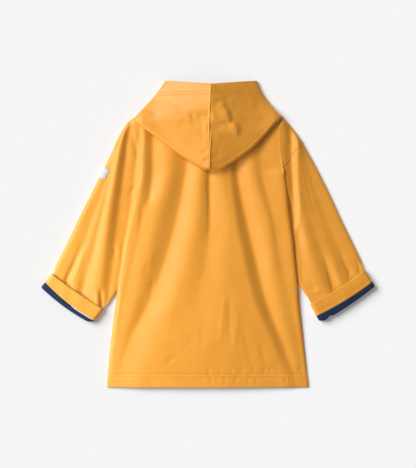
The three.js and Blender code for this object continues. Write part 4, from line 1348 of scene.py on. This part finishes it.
front_stitches = {}
for side in SIDES:
    edge_x = float(side_x(side, FRONT_HEM_EDGE_Y)) - AWAY[side] * ROW_INSET["front_edge"]
    paths = [[(x, y) for y in FRONT_ROW_Y] for x in FRONT_ROW_X[side]]
    paths += [[(edge_x, y), (FRONT_HEM_END[side], y)] for y in HEM_STITCHES]
    front_stitches[side] = add_rows(f"stitches_front_{side}", surface_of(fronts[side]), paths, downs=(1,))

tab_width = float(sleeve_width("left", 1.0))
tab_path = [
    [float(v) for v in sleeve_plan("left", tab_section(share, distance), distance / tab_width)]
    for share, distance in TAB_ROW
]
tab_stitches = add_rows("stitches_tab", surface_of(tab), [tab_path], TAB_THREAD, step=TAB_STITCH_STEP)


# Each piece hangs from the root and hides the parts of the model that it stands for

def declare(piece, nodes=()):
    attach(piece, "root")
    if nodes:
        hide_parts(*nodes)


for piece in (
    hem_stitches, *armhole_stitches.values(), hood_stitches, seam_stitches, *cuff_stitches.values(),
    *front_stitches.values(),
):
    declare(piece)
declare(tab_stitches)

declare(
    back, ["back"],
)
for side in SIDES:
    declare(sleeves[side], [f"sleeve_{side}"])
    declare(
        cuffs[side], [f"cuff_{side}"],
    )
    declare(
        linings[side], [f"cuff_lining_{side}"],
    )
    declare(
        hoods[side], [f"hood_{side}"],
    )
    declare(
        fronts[side], [f"front_{side}"],
    )
declare(
    tab, ["sleeve_tab"],
)
for name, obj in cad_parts.items():
    if name.startswith("snap_"):
        obj.data.materials.clear()
        obj.data.materials.append(SNAP_PLASTIC)


# Floor, light and camera

FLOOR_HALF = 6.0
FLOOR_Z = -0.0004
FLOOR_TONE = 0.8
FLOOR_GLOW = 0.13
WORLD_GLOW = 0.2


def add_floor():
    mesh = bpy.data.meshes.new("floor")
    corners = [(-1, -1), (1, -1), (1, 1), (-1, 1)]
    mesh.from_pydata([(x * FLOOR_HALF, y * FLOOR_HALF, FLOOR_Z) for x, y in corners], [], [(0, 1, 2, 3)])
    made = add_object("floor", mesh)
    look = Look("floor_paper")
    tone = look.ramp(look.noise(300, 3, 0.6), 0.2, 0.8, (FLOOR_TONE,) * 3, (FLOOR_TONE * 1.01,) * 3)
    mesh.materials.append(look.finish(
        Base_Color=tone, Roughness=0.95, Specular_IOR_Level=0.1, Emission_Color=(1, 1, 1, 1),
        Emission_Strength=FLOOR_GLOW,
    ))
    return made


floor = add_floor()

world = bpy.data.worlds.new("studio")
bpy.context.scene.world = world
world.use_nodes = True
background = world.node_tree.nodes["Background"]
background.inputs["Color"].default_value = (1, 1, 1, 1)
background.inputs["Strength"].default_value = WORLD_GLOW


def lights_floor(lamp, only):
    """Let the lamp light the floor alone, or everything but the floor."""
    group = bpy.data.collections.new(f"{lamp.name}_on_floor")
    group.objects.link(floor)
    lamp.light_linking.receiver_collection = group
    group.collection_objects[0].light_linking.link_state = "INCLUDE" if only else "EXCLUDE"


def add_lamp(kind, name, place, energy, size, only_floor=False):
    """A lamp that shines on the coat's middle. Its size is a side in metres, or a sun's angle."""
    data = bpy.data.lights.new(name, kind)
    data.energy = energy
    if kind == "AREA":
        data.shape = "SQUARE"
        data.size = size
    else:
        data.angle = size
    lamp = add_object(name, data)
    lamp.location = place
    lamp.rotation_mode = "QUATERNION"
    lamp.rotation_quaternion = (-Vector(place)).to_track_quat("-Z", "Y")
    lights_floor(lamp, only_floor)


def towards(azimuth, elevation, distance=3.0):
    a, e = math.radians(azimuth), math.radians(elevation)
    return tuple(distance * v for v in (math.cos(a) * math.cos(e), math.sin(a) * math.cos(e), math.sin(e)))


add_lamp("AREA", "window", (-0.7, -0.2, 0.5), 5.2, 0.5)
add_lamp("SUN", "key", towards(142, 37), 2.55, math.radians(24))
add_lamp("SUN", "floor_key", towards(152, 40), 3.8, math.radians(40), only_floor=True)

camera_data = bpy.data.cameras.new("camera")
camera_data.lens = 100
camera_data.sensor_width = 36
camera_data.sensor_fit = "AUTO"
camera = add_object("camera", camera_data)
camera.location = (0, 0, 2.6)
bpy.context.scene.camera = camera

bpy.context.scene.view_settings.view_transform = "Standard"
